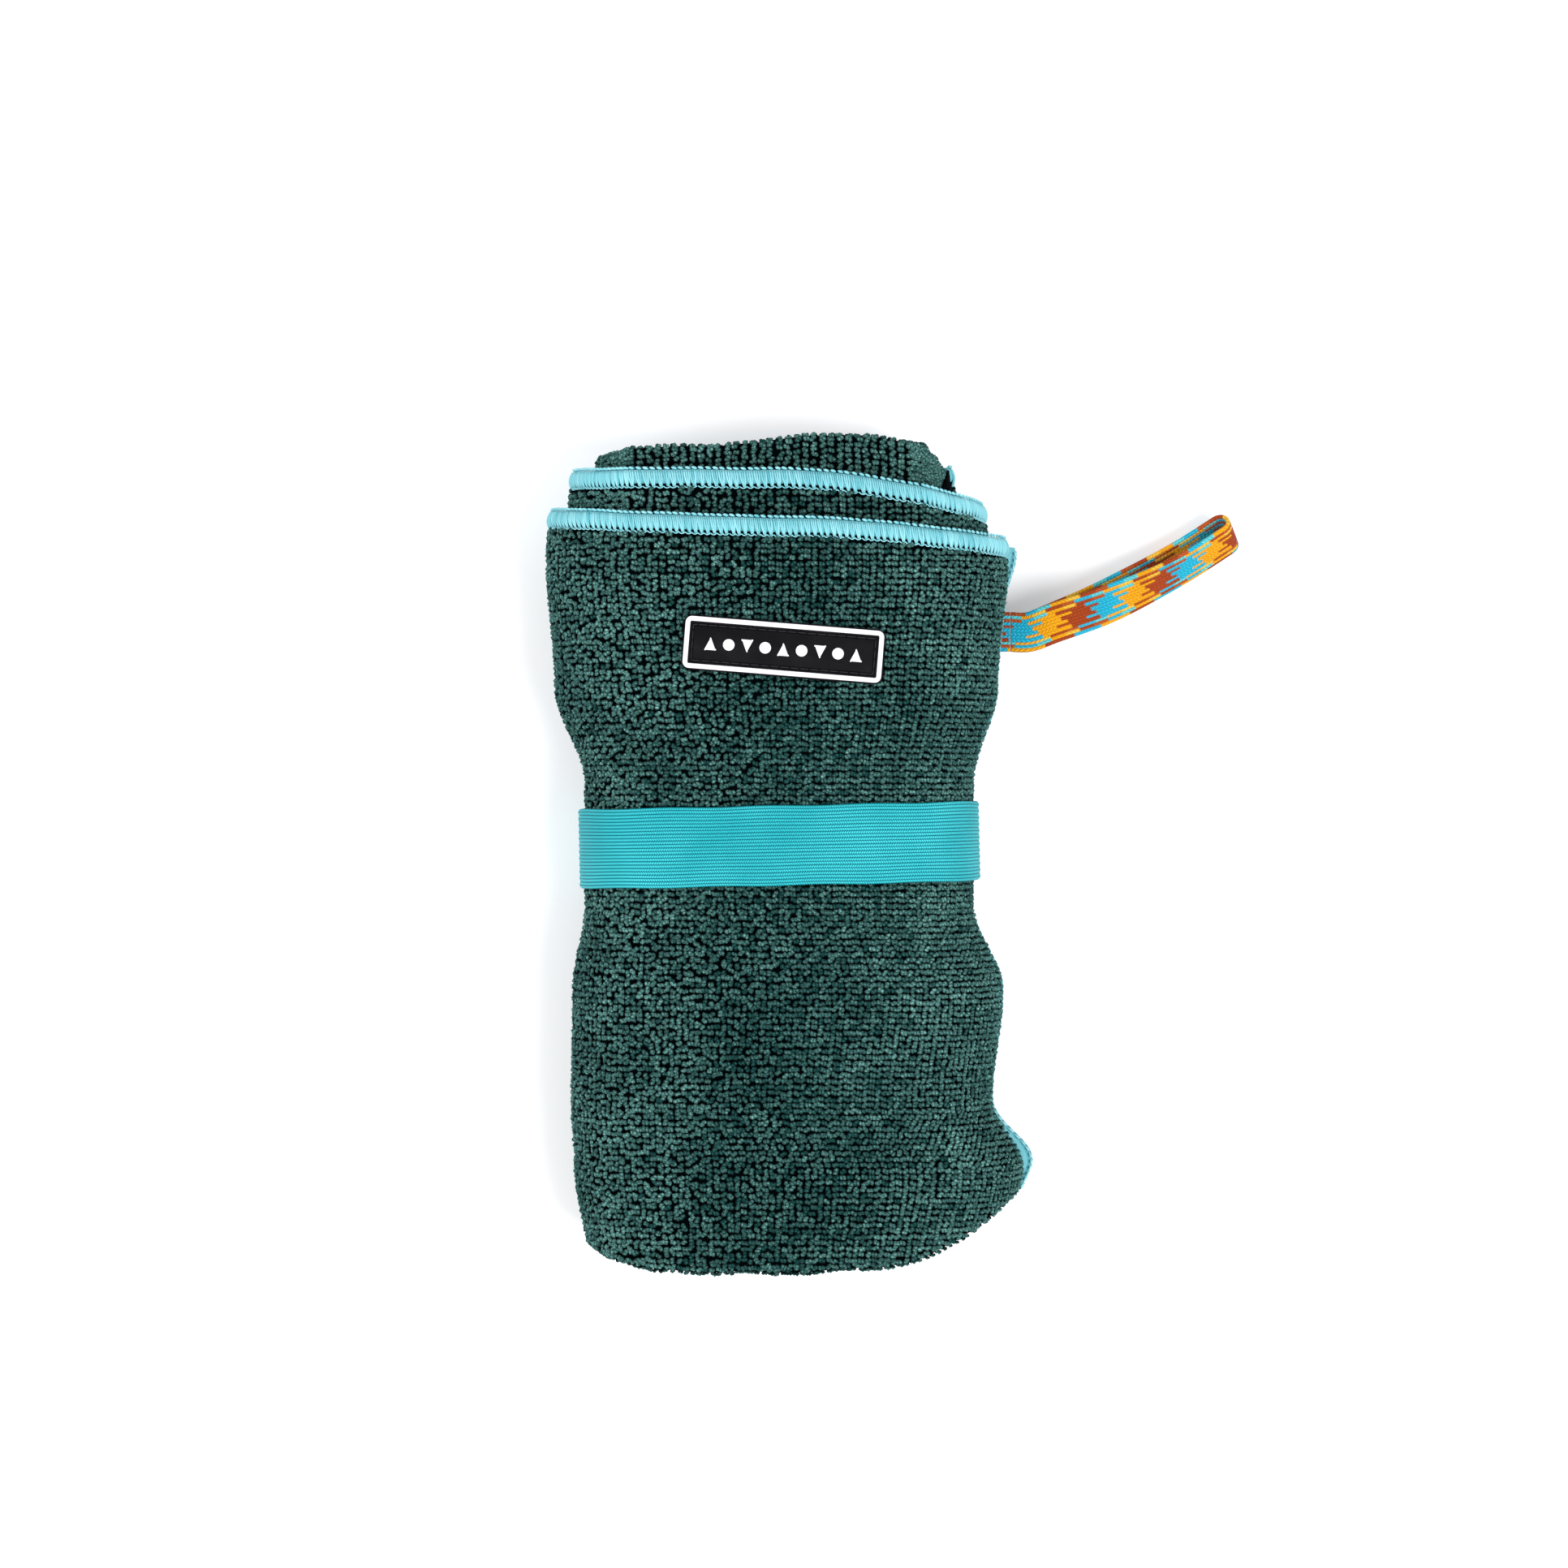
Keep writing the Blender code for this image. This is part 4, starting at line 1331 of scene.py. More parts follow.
        sizes = [rng.uniform(*self.long, count) * MM, rng.uniform(*self.wide, count) * MM, tall]
        sizes = np.stack(sizes, -1)
        # Painted sheen: the tone is lifted towards the roll's sides and its hemmed end.
        side_at, end_from, end_over = self.rim
        end = smooth((origin[:, 1] - end_from) / end_over)
        rim = smooth(np.abs(origin[:, 0]) / side_at) + 0.6 * end
        usual, spread, paler = self.shade
        tone = np.clip(rng.normal(usual, spread, count) + paler * np.minimum(rim, 1.1), 0, 1)
        loop = self.curl()
        pieces = []
        for k, part in enumerate(np.array_split(np.arange(count), math.ceil(count / self.loops_in_piece))):
            surface = scatter(loop, origin[part], axes[part], sizes[part], tone[part])
            pieces.append(add_piece(f"terry_pile_{k + 1}", surface, TERRY, Body.TOWEL, Slot.TERRY))
        return pieces


@dataclass
class OverlockHem:
    """One sewn edge: a soft core over the cloth's edge, strands across it, loops below and a chain on it.

    Attributes:
        name: the piece's name.
        node: the frame's node that it stands for.
        place: gives places from how far along the seam, how far up the hem, and how far off it.
        length: along the seam.
        tall: across it.
        thick: its soft core.
        bare: how far up the core starts, where only the strands cover the cloth.
        pitch: from stitch to stitch.
        strand: a strand's radius.
        looper: the radius of the thread that joins the stitches below.
        slant: how far a stitch leans, in pitches.
        fan: how far a stitch's strands stand apart at their foot, and how much more at the edge, in pitches.
        reach: where the strands start, and how far they run, in shares of the height.
        arch: how far a strand stands off the core, and how deep its ends dip.
        step: between the core's sections.
    """

    name: str
    node: str
    place: Place
    length: float
    tall: float = 6.3 * MM
    thick: float = 2.3 * MM
    bare: float = 1.1 * MM
    pitch: float = 2.0 * MM
    strand: float = 0.3 * MM
    looper: float = 0.21 * MM
    slant: float = 0.35
    fan: tuple[float, float] = (0.11, 0.21)
    reach: tuple[float, float] = (0.05, 0.81)
    arch: tuple[float, float] = (0.3 * MM, 0.12 * MM)
    step: float = 1.6 * MM

    def build(self, rng: np.random.Generator) -> bpy.types.Object:
        """Makes the hem as one piece.

        Args:
            rng: the random draws.

        Returns:
            The piece.
        """
        parts = [self.core(), *self.strands(rng), self.chain(rng)]
        return add_piece(self.name, merged(parts), OVERLOCK, Body.TOWEL, Slot.OVERLOCK, (self.node,))

    def normals(self, along: Array, up: Array, off: Array) -> Array:
        """The way off the hem at its places."""
        return unit(self.place(along, up, off + 0.2 * MM) - self.place(along, up, off))

    def core(self) -> Surface:
        """The body of the hem: a flat oval section, the cosine's 0.7th power wide, carried along the seam.

        Returns:
            The core, evenly toned darker than the strands: painted shade under them.
        """
        along = np.linspace(0, self.length, int(self.length / self.step) + 1)
        angle = 2 * np.pi * (np.arange(12) + 0.5) / 12
        reach = (self.tall - self.bare - 0.5 * MM) / 2
        up = self.bare + reach * (1 + np.sign(np.cos(angle)) * np.abs(np.cos(angle)) ** 0.7)
        off = self.thick / 2 * (np.sin(angle) - 1)
        # the low tone is painted shade: the core shows only between and under the strands
        return toned(loft(self.place(along[:, None], up[None], off[None])), 0.3)

    def strands(self, rng: np.random.Generator) -> list[Surface]:
        """Three strands a stitch, fanned out towards the edge, and the loop that joins the stitches below.

        A strand stands off the core by a half wave of how far up it is, and a loop hangs by a half wave of
        how far along it is.

        Args:
            rng: the random draws.

        Returns:
            The three strands of all the stitches, and the loops.
        """
        count = int(self.length / self.pitch)
        stitch = (np.arange(count) + 0.5) * self.pitch + rng.normal(0, 0.06, count) * self.pitch
        foot, fan = self.fan
        start, run = self.reach
        high, dip = self.arch
        rise = np.linspace(0, 1, 6)
        parts = []
        for k in (-1, 0, 1):
            spread = k * self.pitch * (foot + fan * smooth(rise * 1.7))
            along = stitch[:, None] + spread[None] + self.slant * self.pitch * (rise[None] - 0.5)
            up = self.tall * (start + run * rise)[None] + rng.normal(0, 0.06 * MM, (count, 1))
            off = (high * np.sin(np.pi * np.clip(rise, 0.1, 0.97)) - dip)[None] + 0 * along
            off = off + rng.normal(0, 0.04 * MM, (count, 1))
            points = self.place(along, up, off)
            radius = self.strand * (0.85 + 0.25 * np.sin(np.pi * rise))[None] * np.ones((count, 1))
            made = tubes(points, self.normals(along, up, off), radius)
            parts.append(toned(made, np.clip(rng.normal(0.62, 0.22, count), 0, 1)))
        along = stitch[:, None] + (rise[None] - 0.5) * self.pitch * 1.02
        up = -0.55 * MM * np.sin(np.pi * rise)[None] + 0.4 * MM + 0 * along
        off = 0.1 * MM + 0 * along
        made = tubes(self.place(along, up, off), self.normals(along, up, off), self.looper)
        return [*parts, toned(made, np.clip(rng.normal(0.75, 0.15, count), 0, 1))]

    def chain(self, rng: np.random.Generator) -> Surface:
        """The chain along the edge: one leaning bead a stitch.

        Args:
            rng: the random draws.

        Returns:
            The beads as one surface.
        """
        count = int(self.length / self.pitch)
        along = (np.arange(count) + 0.5) * self.pitch + rng.normal(0, 0.05, count) * self.pitch
        up, off = np.full(count, self.tall - 0.1 * MM), np.full(count, -0.1 * self.thick)
        origin = self.place(along, up, off)
        ahead = unit(self.place(along + 0.3 * MM, up, off) - origin)
        edge = unit(self.place(along, up + 0.3 * MM, off) - origin)
        out = unit(np.cross(ahead, edge))
        out = out * np.sign(np.sum(out * self.normals(along, up, off), -1, keepdims=True))
        long = unit(ahead + 0.45 * out)
        wide = unit(np.cross(edge, long))
        axes = np.stack([long, wide, edge], 1)
        wide = rng.uniform(0.46, 0.58, count) * MM
        sizes = np.column_stack([np.full(count, 1.12 * MM), wide, np.full(count, 0.55 * MM)])
        bead = dome(6, [(0.6, -0.55), (1.0, 0.0), (0.7, 0.7)], 0.95)
        made = scatter(bead, origin, axes, sizes, np.clip(rng.normal(0.7, 0.18, count), 0, 1))
        del made.marks["lift"]
        return made


@dataclass
class OverlockHems:
    """The four sewn edges that show: along both turns' tops, down the free end and down the inner end.

    Attributes:
        ends: where the free end's hem starts and ends along the roll.
        share: how much of its turn a top hem takes, and after how much it starts.
        middle: a hem's middle, up from its foot, off which it sinks.
        top_sink: how far a top hem sinks at its edges, and how deep it lies.
        end_thick: the free end's hem.
        end_sink: how far it sinks at its edges, and how deep it lies.
        foot_flare: how far it turns out near the foot, where, and over how long.
        top_flare: how far it turns out at the top, from where, and over how long.
        press: how far the band presses it in, how far off the band's middle, where that is, and over how long.
        inner_size: the inner hem's length, height and thickness.
        inner_from: how far past the free end's start it starts.
        inner_deep: how deep it lies under the second turn.
        off_side: how far off the side's middle the free end's hem and the inner hem start, in turns.
    """

    roll: Roll
    ends: tuple[float, float] = (-109 * MM, 98 * MM)
    share: tuple[float, float] = (0.992, 0.003)
    middle: float = 3.15 * MM
    top_sink: tuple[float, float] = (0.75 * MM, 0.25 * MM)
    end_thick: float = 4.8 * MM
    end_sink: tuple[float, float] = (0.6 * MM, 0.35 * MM)
    foot_flare: Triple = (3.6 * MM, -97 * MM, 9 * MM)
    top_flare: Triple = (2.8 * MM, 82 * MM, 14 * MM)
    press: tuple[float, float, float, float] = (0.6 * MM, 26 * MM, 2.2 * MM, 4 * MM)
    inner_size: Triple = (219 * MM, 4.6 * MM, 1.9 * MM)
    inner_from: float = 5 * MM
    inner_deep: float = 1.4 * MM
    off_side: tuple[float, float] = (0.0005, 0.0015)

    def build(self) -> list[bpy.types.Object]:
        """Makes the hems.

        Returns:
            The pieces.
        """
        rng = np.random.default_rng(SEED + 1)
        made = []
        for name, node, first in (
            ("overlock_outer_top", "hem_long_outer", 0.0),
            ("overlock_second_top", "hem_long_second", 1.0),
        ):
            length = (self.roll.girth - first * 2 * math.pi * self.roll.strip) * self.share[0]
            made.append(OverlockHem(name, node, self.top_place(first, length), length).build(rng))
        low, high = self.ends
        outer = OverlockHem("overlock_free_end", "hem_short_outer", self.free_end_place(low), high - low)
        outer.thick = self.end_thick
        inner = OverlockHem(
            "overlock_inner_end", "hem_short_inner", self.inner_end_place(low), *self.inner_size
        )
        return [*made, outer.build(rng), inner.build(rng)]

    def sink(self, up: Array, edge: float) -> Array:
        """How far a hem sinks by its height: the square of how far that is off its middle."""
        return edge * (np.asarray(up) / self.middle - 1) ** 2

    def top_place(self, first: float, length: float) -> Place:
        """Places on a hem along a turn's top edge.

        Args:
            first: the turn at which it starts.
            length: its length, which takes all but the last of one turn.

        Returns:
            A function of how far along, up and off the hem.
        """

        def place(along: Array, up: Array, off: Array) -> Array:
            """A strip along the turn's edge, sunk towards its own two edges.

            Args:
                along: how far along the seam.
                up: how far up the hem.
                off: how far off it.

            Returns:
                Places, with x, y and z last.
            """
            share, start = self.share
            edge, deep = self.top_sink
            turn = first + start + np.asarray(along) / length * share
            inset = self.roll.depth(turn) + deep + self.sink(up, edge) - off
            return self.roll.point(self.roll.hem(turn) + up, turn, inset, self.roll.cut(turn))

        return place

    def free_end_place(self, low: float) -> Place:
        """Places on the free end's hem: it hangs below the roll's side, and turns out at both its ends.

        Args:
            low: where it starts along the roll.

        Returns:
            A function of how far along, up and off the hem.
        """

        def place(along: Array, up: Array, off: Array) -> Array:
            """A strip down the side, pushed out by a bell near the foot and a step at the top.

            Args:
                along: how far along the seam.
                up: how far up the hem.
                off: how far off it.

            Returns:
                Places, with x, y and z last.
            """
            y = low + np.asarray(along)
            turn = -np.asarray(up) / self.roll.girth - self.off_side[0]
            edge, deep = self.end_sink
            bell, bell_at, bell_wide = self.foot_flare
            step, step_at, step_long = self.top_flare
            flare = bell * np.exp(-(((y - bell_at) / bell_wide) ** 2))
            flare = flare + step * smooth((y - step_at) / step_long)
            press, reach, middle, ease = self.press
            pressed = press * smooth((reach - np.abs(y - middle)) / ease)
            return self.roll.point(y, turn, deep + pressed + self.sink(up, edge) - off - flare)

        return place

    def inner_end_place(self, low: float) -> Place:
        """Places on the inner end's hem, which stands between the second turn and the core.

        Args:
            low: where it starts along the roll.

        Returns:
            A function of how far along, up and off the hem.
        """

        def place(along: Array, up: Array, off: Array) -> Array:
            """A straight strip along the roll's right side, two turns deep.

            Args:
                along: how far along the seam.
                up: how far up the hem.
                off: how far off it.

            Returns:
                Places, with x, y and z last.
            """
            y = low + self.inner_from + np.asarray(along)
            turn = self.off_side[1] + np.asarray(up) / self.roll.girth
            return self.roll.point(y, turn, 2 * self.roll.strip + self.inner_deep - off)

        return place


# ---- The elastic band ----


@dataclass
class ElasticBand:
    """The wide elastic round the waist, its lapped end behind, and the seam that closes it.

    Attributes:
        middle: where its middle lies along the roll.
        tilt: how far it is turned about the upright.
        fit: how far it stands off the cloth.
        gap: between the strap and the lap.
        lap: how long the lap is, and the flat that it lies on, which is a quarter of a turn.
        steps: sections round the strap and along the lap.
        edge: how much thinner its selvedges are, and over what part of its width.
        waver: how far its selvedges wander, and how often round it.
        bends: the seam's bends, and how far they reach in shares of the lap and the width.
    """

    roll: Roll
    width: float = 25.4 * MM
    thick: float = 1.2 * MM
    middle: float = 2.2 * MM
    tilt: float = math.radians(1.2)
    fit: float = 0.4 * MM
    gap: float = 0.3 * MM
    ribs: int = 12
    rib_height: float = 0.3 * MM
    lap: float = 14 * MM
    flat: float = 78 * MM
    girth: float = 310 * MM
    thread: float = 0.5 * MM
    steps: tuple[int, int] = (372, 22)
    edge: tuple[float, float] = (0.35 * MM, 1 / 40)
    waver: tuple[float, float] = (0.16 * MM, 61.0)
    bends: int = 12
    reach: tuple[float, float] = (0.3, 0.45)

    def build(self) -> None:
        """Makes the band, its lap and its seam."""
        turns = 0.75 + np.linspace(0, 1, self.steps[0], endpoint=False)
        band = self.strap(turns, self.fit, True)
        add_piece("elastic_strap", band, ELASTIC, Body.BAND, Slot.ELASTIC, ("elastic_band",))
        share = self.lap / self.flat / 4
        under = self.fit + self.thick + self.gap
        lap = self.strap(np.linspace(0.75 - share / 2, 0.75 + share / 2, self.steps[1]), under, False)
        add_piece("elastic_lap", lap, ELASTIC, Body.BAND, Slot.ELASTIC, ("band_lap",))
        self.seam(share, under + self.thick)

    def tilted(self, places: Array) -> Array:
        """Turns places by the band's tilt about the upright through its middle."""
        middle = np.array([0.0, self.middle, 0.0])
        return turned(places - middle, self.tilt) + middle

    def strap(self, turns: Array, near: float, closed: bool) -> Surface:
        """A ribbed strap: its outside rises in a row of arches across, and its selvedges waver slightly.

        Args:
            turns: its sections.
            near: how far its inside stands off the roll.
            closed: whether it goes all the way round.

        Returns:
            The strap, with its places on the cloth.
        """
        across = np.linspace(0, 1, self.ribs * 6 + 1)
        arch = np.abs(np.sin(across * self.ribs * np.pi)) ** 0.7
        thinner, part = self.edge
        edge = 1 - smooth(np.minimum(across, 1 - across) / part)
        height = self.thick - self.rib_height * (1.6 - arch) - thinner * edge
        inside = across[::-2]
        share = np.concatenate([across, inside])
        off = near + np.concatenate([height, 0 * inside])
        wander, often = self.waver
        waver = wander * np.sin(turns * often)[:, None] * (2 * share[None] - 1)
        y = self.middle + self.width * (share[None] - 0.5) + waver
        sections = self.tilted(self.roll.point(y, turns[:, None], -off[None]))
        along = np.append(turns, turns[0] + 1) * self.girth
        around = np.append(share, share[0]) * self.width
        return loft(sections, closed, along, around)

    def seam(self, share: float, near: float) -> None:
        """The zigzag that closes the lap, and a round thread for it.

        Args:
            share: the lap's share of a turn.
            near: how far its outside stands off the roll.
        """
        bends = np.arange(self.bends + 1)
        turn = 0.75 + share * self.reach[0] * (-1.0) ** bends
        y = self.middle + self.width * self.reach[1] * (2 * bends / self.bends - 1)
        fine = np.linspace(0, self.bends, 8 * self.bends + 1)
        turn, y = np.interp(fine, bends, turn), np.interp(fine, bends, y)
        places = self.tilted(self.roll.point(y, turn, -(near + self.thread / 2)))[None]
        made = toned(tubes(places, np.broadcast_to(-UPRIGHT, places.shape), self.thread / 2, 6), 0.6)
        add_piece("elastic_seam", made, OVERLOCK, Body.BAND, Slot.OVERLOCK, ("band_stitching",))


# ---- The badge ----


@dataclass
class RubberBadge:
    """The moulded badge: a black plate, a white rim, a sewn channel and nine plain raised shapes.

    Attributes:
        rim_from: the rim's inset from the edge, and rim_to its inner side's.
        channel_from: the channel's inset, and channel_to its inner side's.
        soft: how far the plate's shoulders are rounded, then its edge's, the rim's and the shapes' corners'.
        mark_size: a shape's height, and mark_pitch the way from shape to shape.
        stitch: from stitch to stitch, and thread the radius of its thread.
    """

    length: float = 63.7 * MM
    width: float = 17.4 * MM
    corner: float = 2.5 * MM
    thick: float = 1.6 * MM
    tilt: float = math.radians(-4.6)
    rim_from: float = 0.5 * MM
    rim_to: float = 2.0 * MM
    rim_height: float = 0.6 * MM
    channel_from: float = 2.6 * MM
    channel_to: float = 3.5 * MM
    channel_depth: float = 0.6 * MM
    marks: int = 9
    mark_size: float = 4.6 * MM
    mark_pitch: float = 5.75 * MM
    stitch: float = 3.1 * MM
    thread: float = 0.2 * MM
    soft: tuple[float, float, float, float] = (0.12 * MM, 0.35 * MM, 0.15 * MM, 0.35 * MM)

    def build(self) -> None:
        """Makes the badge's pieces on the frame's own plate."""
        low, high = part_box("badge_base")
        self.seat = np.array([(low[0] + high[0]) / 2, (low[1] + high[1]) / 2, low[2]])
        base = ring_stack(self.outline, self.base_levels(), False)
        self.add("badge_plate", base, 0.0, BLACK_RUBBER, Slot.BLACK_RUBBER, "badge_base")
        rim = ring_stack(self.outline, self.rim_levels(), True)
        self.add("badge_frame", rim, self.thick, WHITE_RUBBER, Slot.WHITE_RUBBER, "badge_rim")
        self.add("badge_seam", self.seam(), 0.0, BLACK_THREAD, Slot.BLACK_THREAD, "badge_stitching")
        for k in range(self.marks):
            shape = ring_stack(self.mark_outline(k), self.mark_levels(), False)
            shape.verts[:, 0] += (k - (self.marks - 1) / 2) * self.mark_pitch
            name, node = f"badge_shape_{k + 1}", f"badge_mark_{k + 1}"
            self.add(name, shape, self.thick, WHITE_RUBBER, Slot.WHITE_RUBBER, node)

    def add(self, name: str, surface: Surface, height: float, finish: Finish, slot: Slot, node: str) -> None:
        """Turns a surface to the badge's tilt, sets it on the plate and makes it a piece."""
        surface.verts = turned(surface.verts, self.tilt) + UPRIGHT * height + self.seat
        add_piece(name, surface, finish, Body.TOWEL, slot, (node,))

    def outline(self, inset: float) -> Array:
        """The badge's outline, drawn in by an inset."""
        return rounded_rectangle(self.length, self.width, self.corner, inset)

    def base_levels(self) -> list[tuple[float, float]]:
        """The plate's section: a rolled outer edge, then the channel's two soft shoulders.

        Returns:
            Insets and heights, from the foot inwards.
        """
        top, floor = self.thick, self.thick - self.channel_depth
        soft, edge = self.soft[:2]
        start, end = self.channel_from, self.channel_to
        return [
            (0.3 * MM, 0.0),
            (0.0, 0.3 * MM),
            (0.0, top - edge),
            (soft, top - soft),
            (edge, top),
            (start - soft, top),
            (start, top - soft),
            (start + soft, floor + soft),
            (start + 2 * soft, floor),
            (end - 2 * soft, floor),
            (end - soft, floor + soft),
            (end, top - soft),
            (end + soft, top),
        ]

    def rim_levels(self) -> list[tuple[float, float]]:
        """The rim's section: square below, and softly rounded on top.

        Returns:
            Insets and heights, up its outside and down its inside.
        """
        high, soft = self.rim_height, self.soft[2]
        one, two = self.rim_from, self.rim_to
        outside = [(one, 0.0), (one, high - soft), (one + soft, high)]
        return [*outside, (two - soft, high), (two, high - soft), (two, 0.0)]

    def mark_levels(self) -> list[tuple[float, float]]:
        """A raised shape's section: upright sides and a soft shoulder."""
        high = self.rim_height
        return [(0.0, 0.0), (0.0, high - 0.18 * MM), (0.07 * MM, high - 0.05 * MM), (0.2 * MM, high)]

    def mark_outline(self, index: int) -> Callable[[float], Array]:
        """A disc at every second place, and triangles between them that point up and down by turns.

        Args:
            index: which mark.

        Returns:
            A function from an inset to the outline's points.
        """
        half = self.mark_size / 2
        if index % 2:
            angle = np.arange(28) / 28 * 2 * np.pi
            return lambda inset: np.stack([np.cos(angle), np.sin(angle)], -1) * (half * 0.8 - inset)
        up = 1 if index % 4 == 0 else -1
        soft = self.soft[3]
        corners = np.array([(-0.9 * half, -half * up), (0.9 * half, -half * up), (0.0, half * up)])[::up]
        centre = corners.mean(0)
        pulled = centre + (corners - centre) * (1 - 2 * soft / (0.62 * self.mark_size))
        start = np.array([0.0, 1.0, 2.0]) * 2 * np.pi / 3 + (-5 / 6 if up > 0 else -1 / 2) * np.pi
        angle = start[:, None] + np.linspace(0, 2 * np.pi / 3, 5)
        arc = np.stack([np.cos(angle), np.sin(angle)], -1)

        def outline(inset: float) -> Array:
            """Three corners, each an arc that shrinks with the inset."""
            shrunk = centre + (pulled - centre) * (1 - 1.2 * inset / half)
            return (shrunk[:, None] + arc * max(soft - 0.4 * inset, 0.05 * MM)).reshape(-1, 2)

        return outline

    def seam(self) -> Surface:
        """Short stitches in the channel: a run of arcs that dip at both ends.

        Returns:
            The stitches as one surface.
        """
        middle = (self.channel_from + self.channel_to) / 2
        path = rounded_rectangle(self.length, self.width, self.corner, middle)
        path = np.vstack([path, path[:1]])
        run = np.append(0, np.cumsum(np.linalg.norm(np.diff(path, axis=0), axis=1)))
        count = int(run[-1] / self.stitch)
        share = np.linspace(0.08, 0.92, 5)
        at = (np.arange(count)[:, None] + share[None]) * run[-1] / count
        lift = self.thick - self.channel_depth + 0.1 * MM + 0.2 * MM * np.sin(np.pi * share)[None] + 0 * at
        points = np.stack([np.interp(at, run, path[:, 0]), np.interp(at, run, path[:, 1]), lift], -1)
        return toned(tubes(points, np.broadcast_to(UPRIGHT, points.shape), self.thread), 0.5)


# ---- The hanging loop ----


@dataclass
class HangingLoop:
    """The braided tape: an eye that swings at the hem, its two sewn tails and the bar tack across them.

    Attributes:
        root_spread: how far each leg lies off the line between them at the root, and eye_spread in the eye.
        part_by: the share of the route by which the legs have parted.
        leg_steps: sections along one leg, and tip_steps round the tip.
        patch: how long a patch of one dye is, and first_patch how far into one the eye starts.
        set_off: how far a strand's patches are set off, in patches: in the middle, more at the edges, by what
            power of how far across, and at random.
        tack_stitches: across the tack, and tack_thread the radius of their thread.
        route: the line midway between the legs: x, y and height from the line it swings on, and its lean.
        dyes: the strands' three colours, and tints paler ones that some strands end in.
    """

    width: float = 12.8 * MM
    thick: float = 1.4 * MM
    root_spread: float = 1.35 * MM
    eye_spread: float = 3.1 * MM
    part_by: float = 0.55
    strands: int = 12
    patch: float = 10 * MM
    first_patch: float = 2.5 * MM
    leg_steps: int = 150
    tip_steps: int = 24
    set_off: tuple[float, float, float, float] = (0.08, 0.62, 1.3, 0.16)
    tack_stitches: int = 30
    tack_thread: float = 0.24 * MM
    route: tuple[tuple[float, ...], ...] = (
        (0.0, 0.0, 0.0, 0.0),
        (6.0, 0.0, 0.0, 0.0),
        (14.0, 3.0, -0.6, 3.0),
        (29.5, 9.2, -3.4, 18.0),
        (44.5, 16.7, -6.8, 36.0),
        (57.5, 24.0, -9.2, 44.0),
        (70.0, 32.0, -10.4, 46.0),
    )
    dyes: tuple[Colour, ...] = ((0.022, 0.50, 0.72), (1.0, 0.42, 0.008), (0.42, 0.060, 0.010))
    tints: tuple[Colour, ...] = ((0.12, 0.66, 0.70), (1.0, 0.56, 0.05), (0.52, 0.10, 0.02))

    def build(self) -> None:
        joints = {joint["name"]: joint for joint in frame["record"]["behaviour"]["joints"]}
        root = np.array(joints["loop_swing"]["pos_m"]) - UPRIGHT * (self.root_spread + self.thick / 2)
        places, wide, face = self.sections(root)
        loop = self.tape(places, wide, face, 0.0)
        piece = add_piece("loop_eye", loop, TAPE, Body.LOOP, Slot.TAPE, ("hanging_loop",))
        self.tail("loop_tail_top", "loop_tail_upper", root, 1)
        self.tail("loop_tail_under", "loop_tail_lower", root, -1)
        self.tack()

    def spine(self, share: Array) -> Array:
        """The line midway between the legs and the tape's lean: a Catmull-Rom curve through the route.

        Args:
            share: how far along it, 0 to 1.

        Returns:
            x, y, height and lean, last.
        """
        table = np.array(self.route)
        spans = len(table) - 1
        at = np.clip(share, 0, 1) * spans
        k = np.minimum(at.astype(int), spans - 1)
        t = (at - k)[..., None]
        a, b, c, d = (table[np.clip(k + step, 0, spans)] for step in (-1, 0, 1, 2))
        square, cube = 2 * a - 5 * b + 4 * c - d, 3 * b - a - 3 * c + d
        return 0.5 * (2 * b + (c - a) * t + square * t**2 + cube * t**3)

    def sections(self, root: Array) -> tuple[Array, Array, Array]:
        """The tape's way out along the upper leg, round the tip in a half circle, and back by the lower one.

        Args:
            root: midway between the legs where they are sewn.

        Returns:
            Each section's place, the way of its width and the way of its face.
        """
        share = np.linspace(0, 1, self.leg_steps + 1)
        line = self.spine(share)
        ahead = unit(self.spine(share + 1e-3)[:, :3] - self.spine(share - 1e-3)[:, :3])
        level = unit(np.column_stack([-ahead[:, 1], ahead[:, 0], 0 * share]))
        upright = np.cross(ahead, level)
        lean = np.radians(line[:, 3:])
        wide = level * np.cos(lean) + upright * np.sin(lean)
        face = upright * np.cos(lean) - level * np.sin(lean)
        opening = np.sin(np.pi / 2 * np.minimum(share / self.part_by, 1)) ** 2
        spread = (self.root_spread + (self.eye_spread - self.root_spread) * opening)[:, None]
        middle = line[:, :3] * MM + root
        angle = (np.pi / 2 - np.arange(1, self.tip_steps) * np.pi / self.tip_steps)[:, None]
        tip_face = face[-1] * np.sin(angle) + ahead[-1] * np.cos(angle)
        tip = middle[-1] + tip_face * spread[-1]
        places = np.concatenate([middle + face * spread, tip, (middle - face * spread)[::-1]])
        ways = np.concatenate([wide, np.broadcast_to(wide[-1], tip.shape), wide[::-1]])
        return places, ways, np.concatenate([face, tip_face, -face[::-1]])

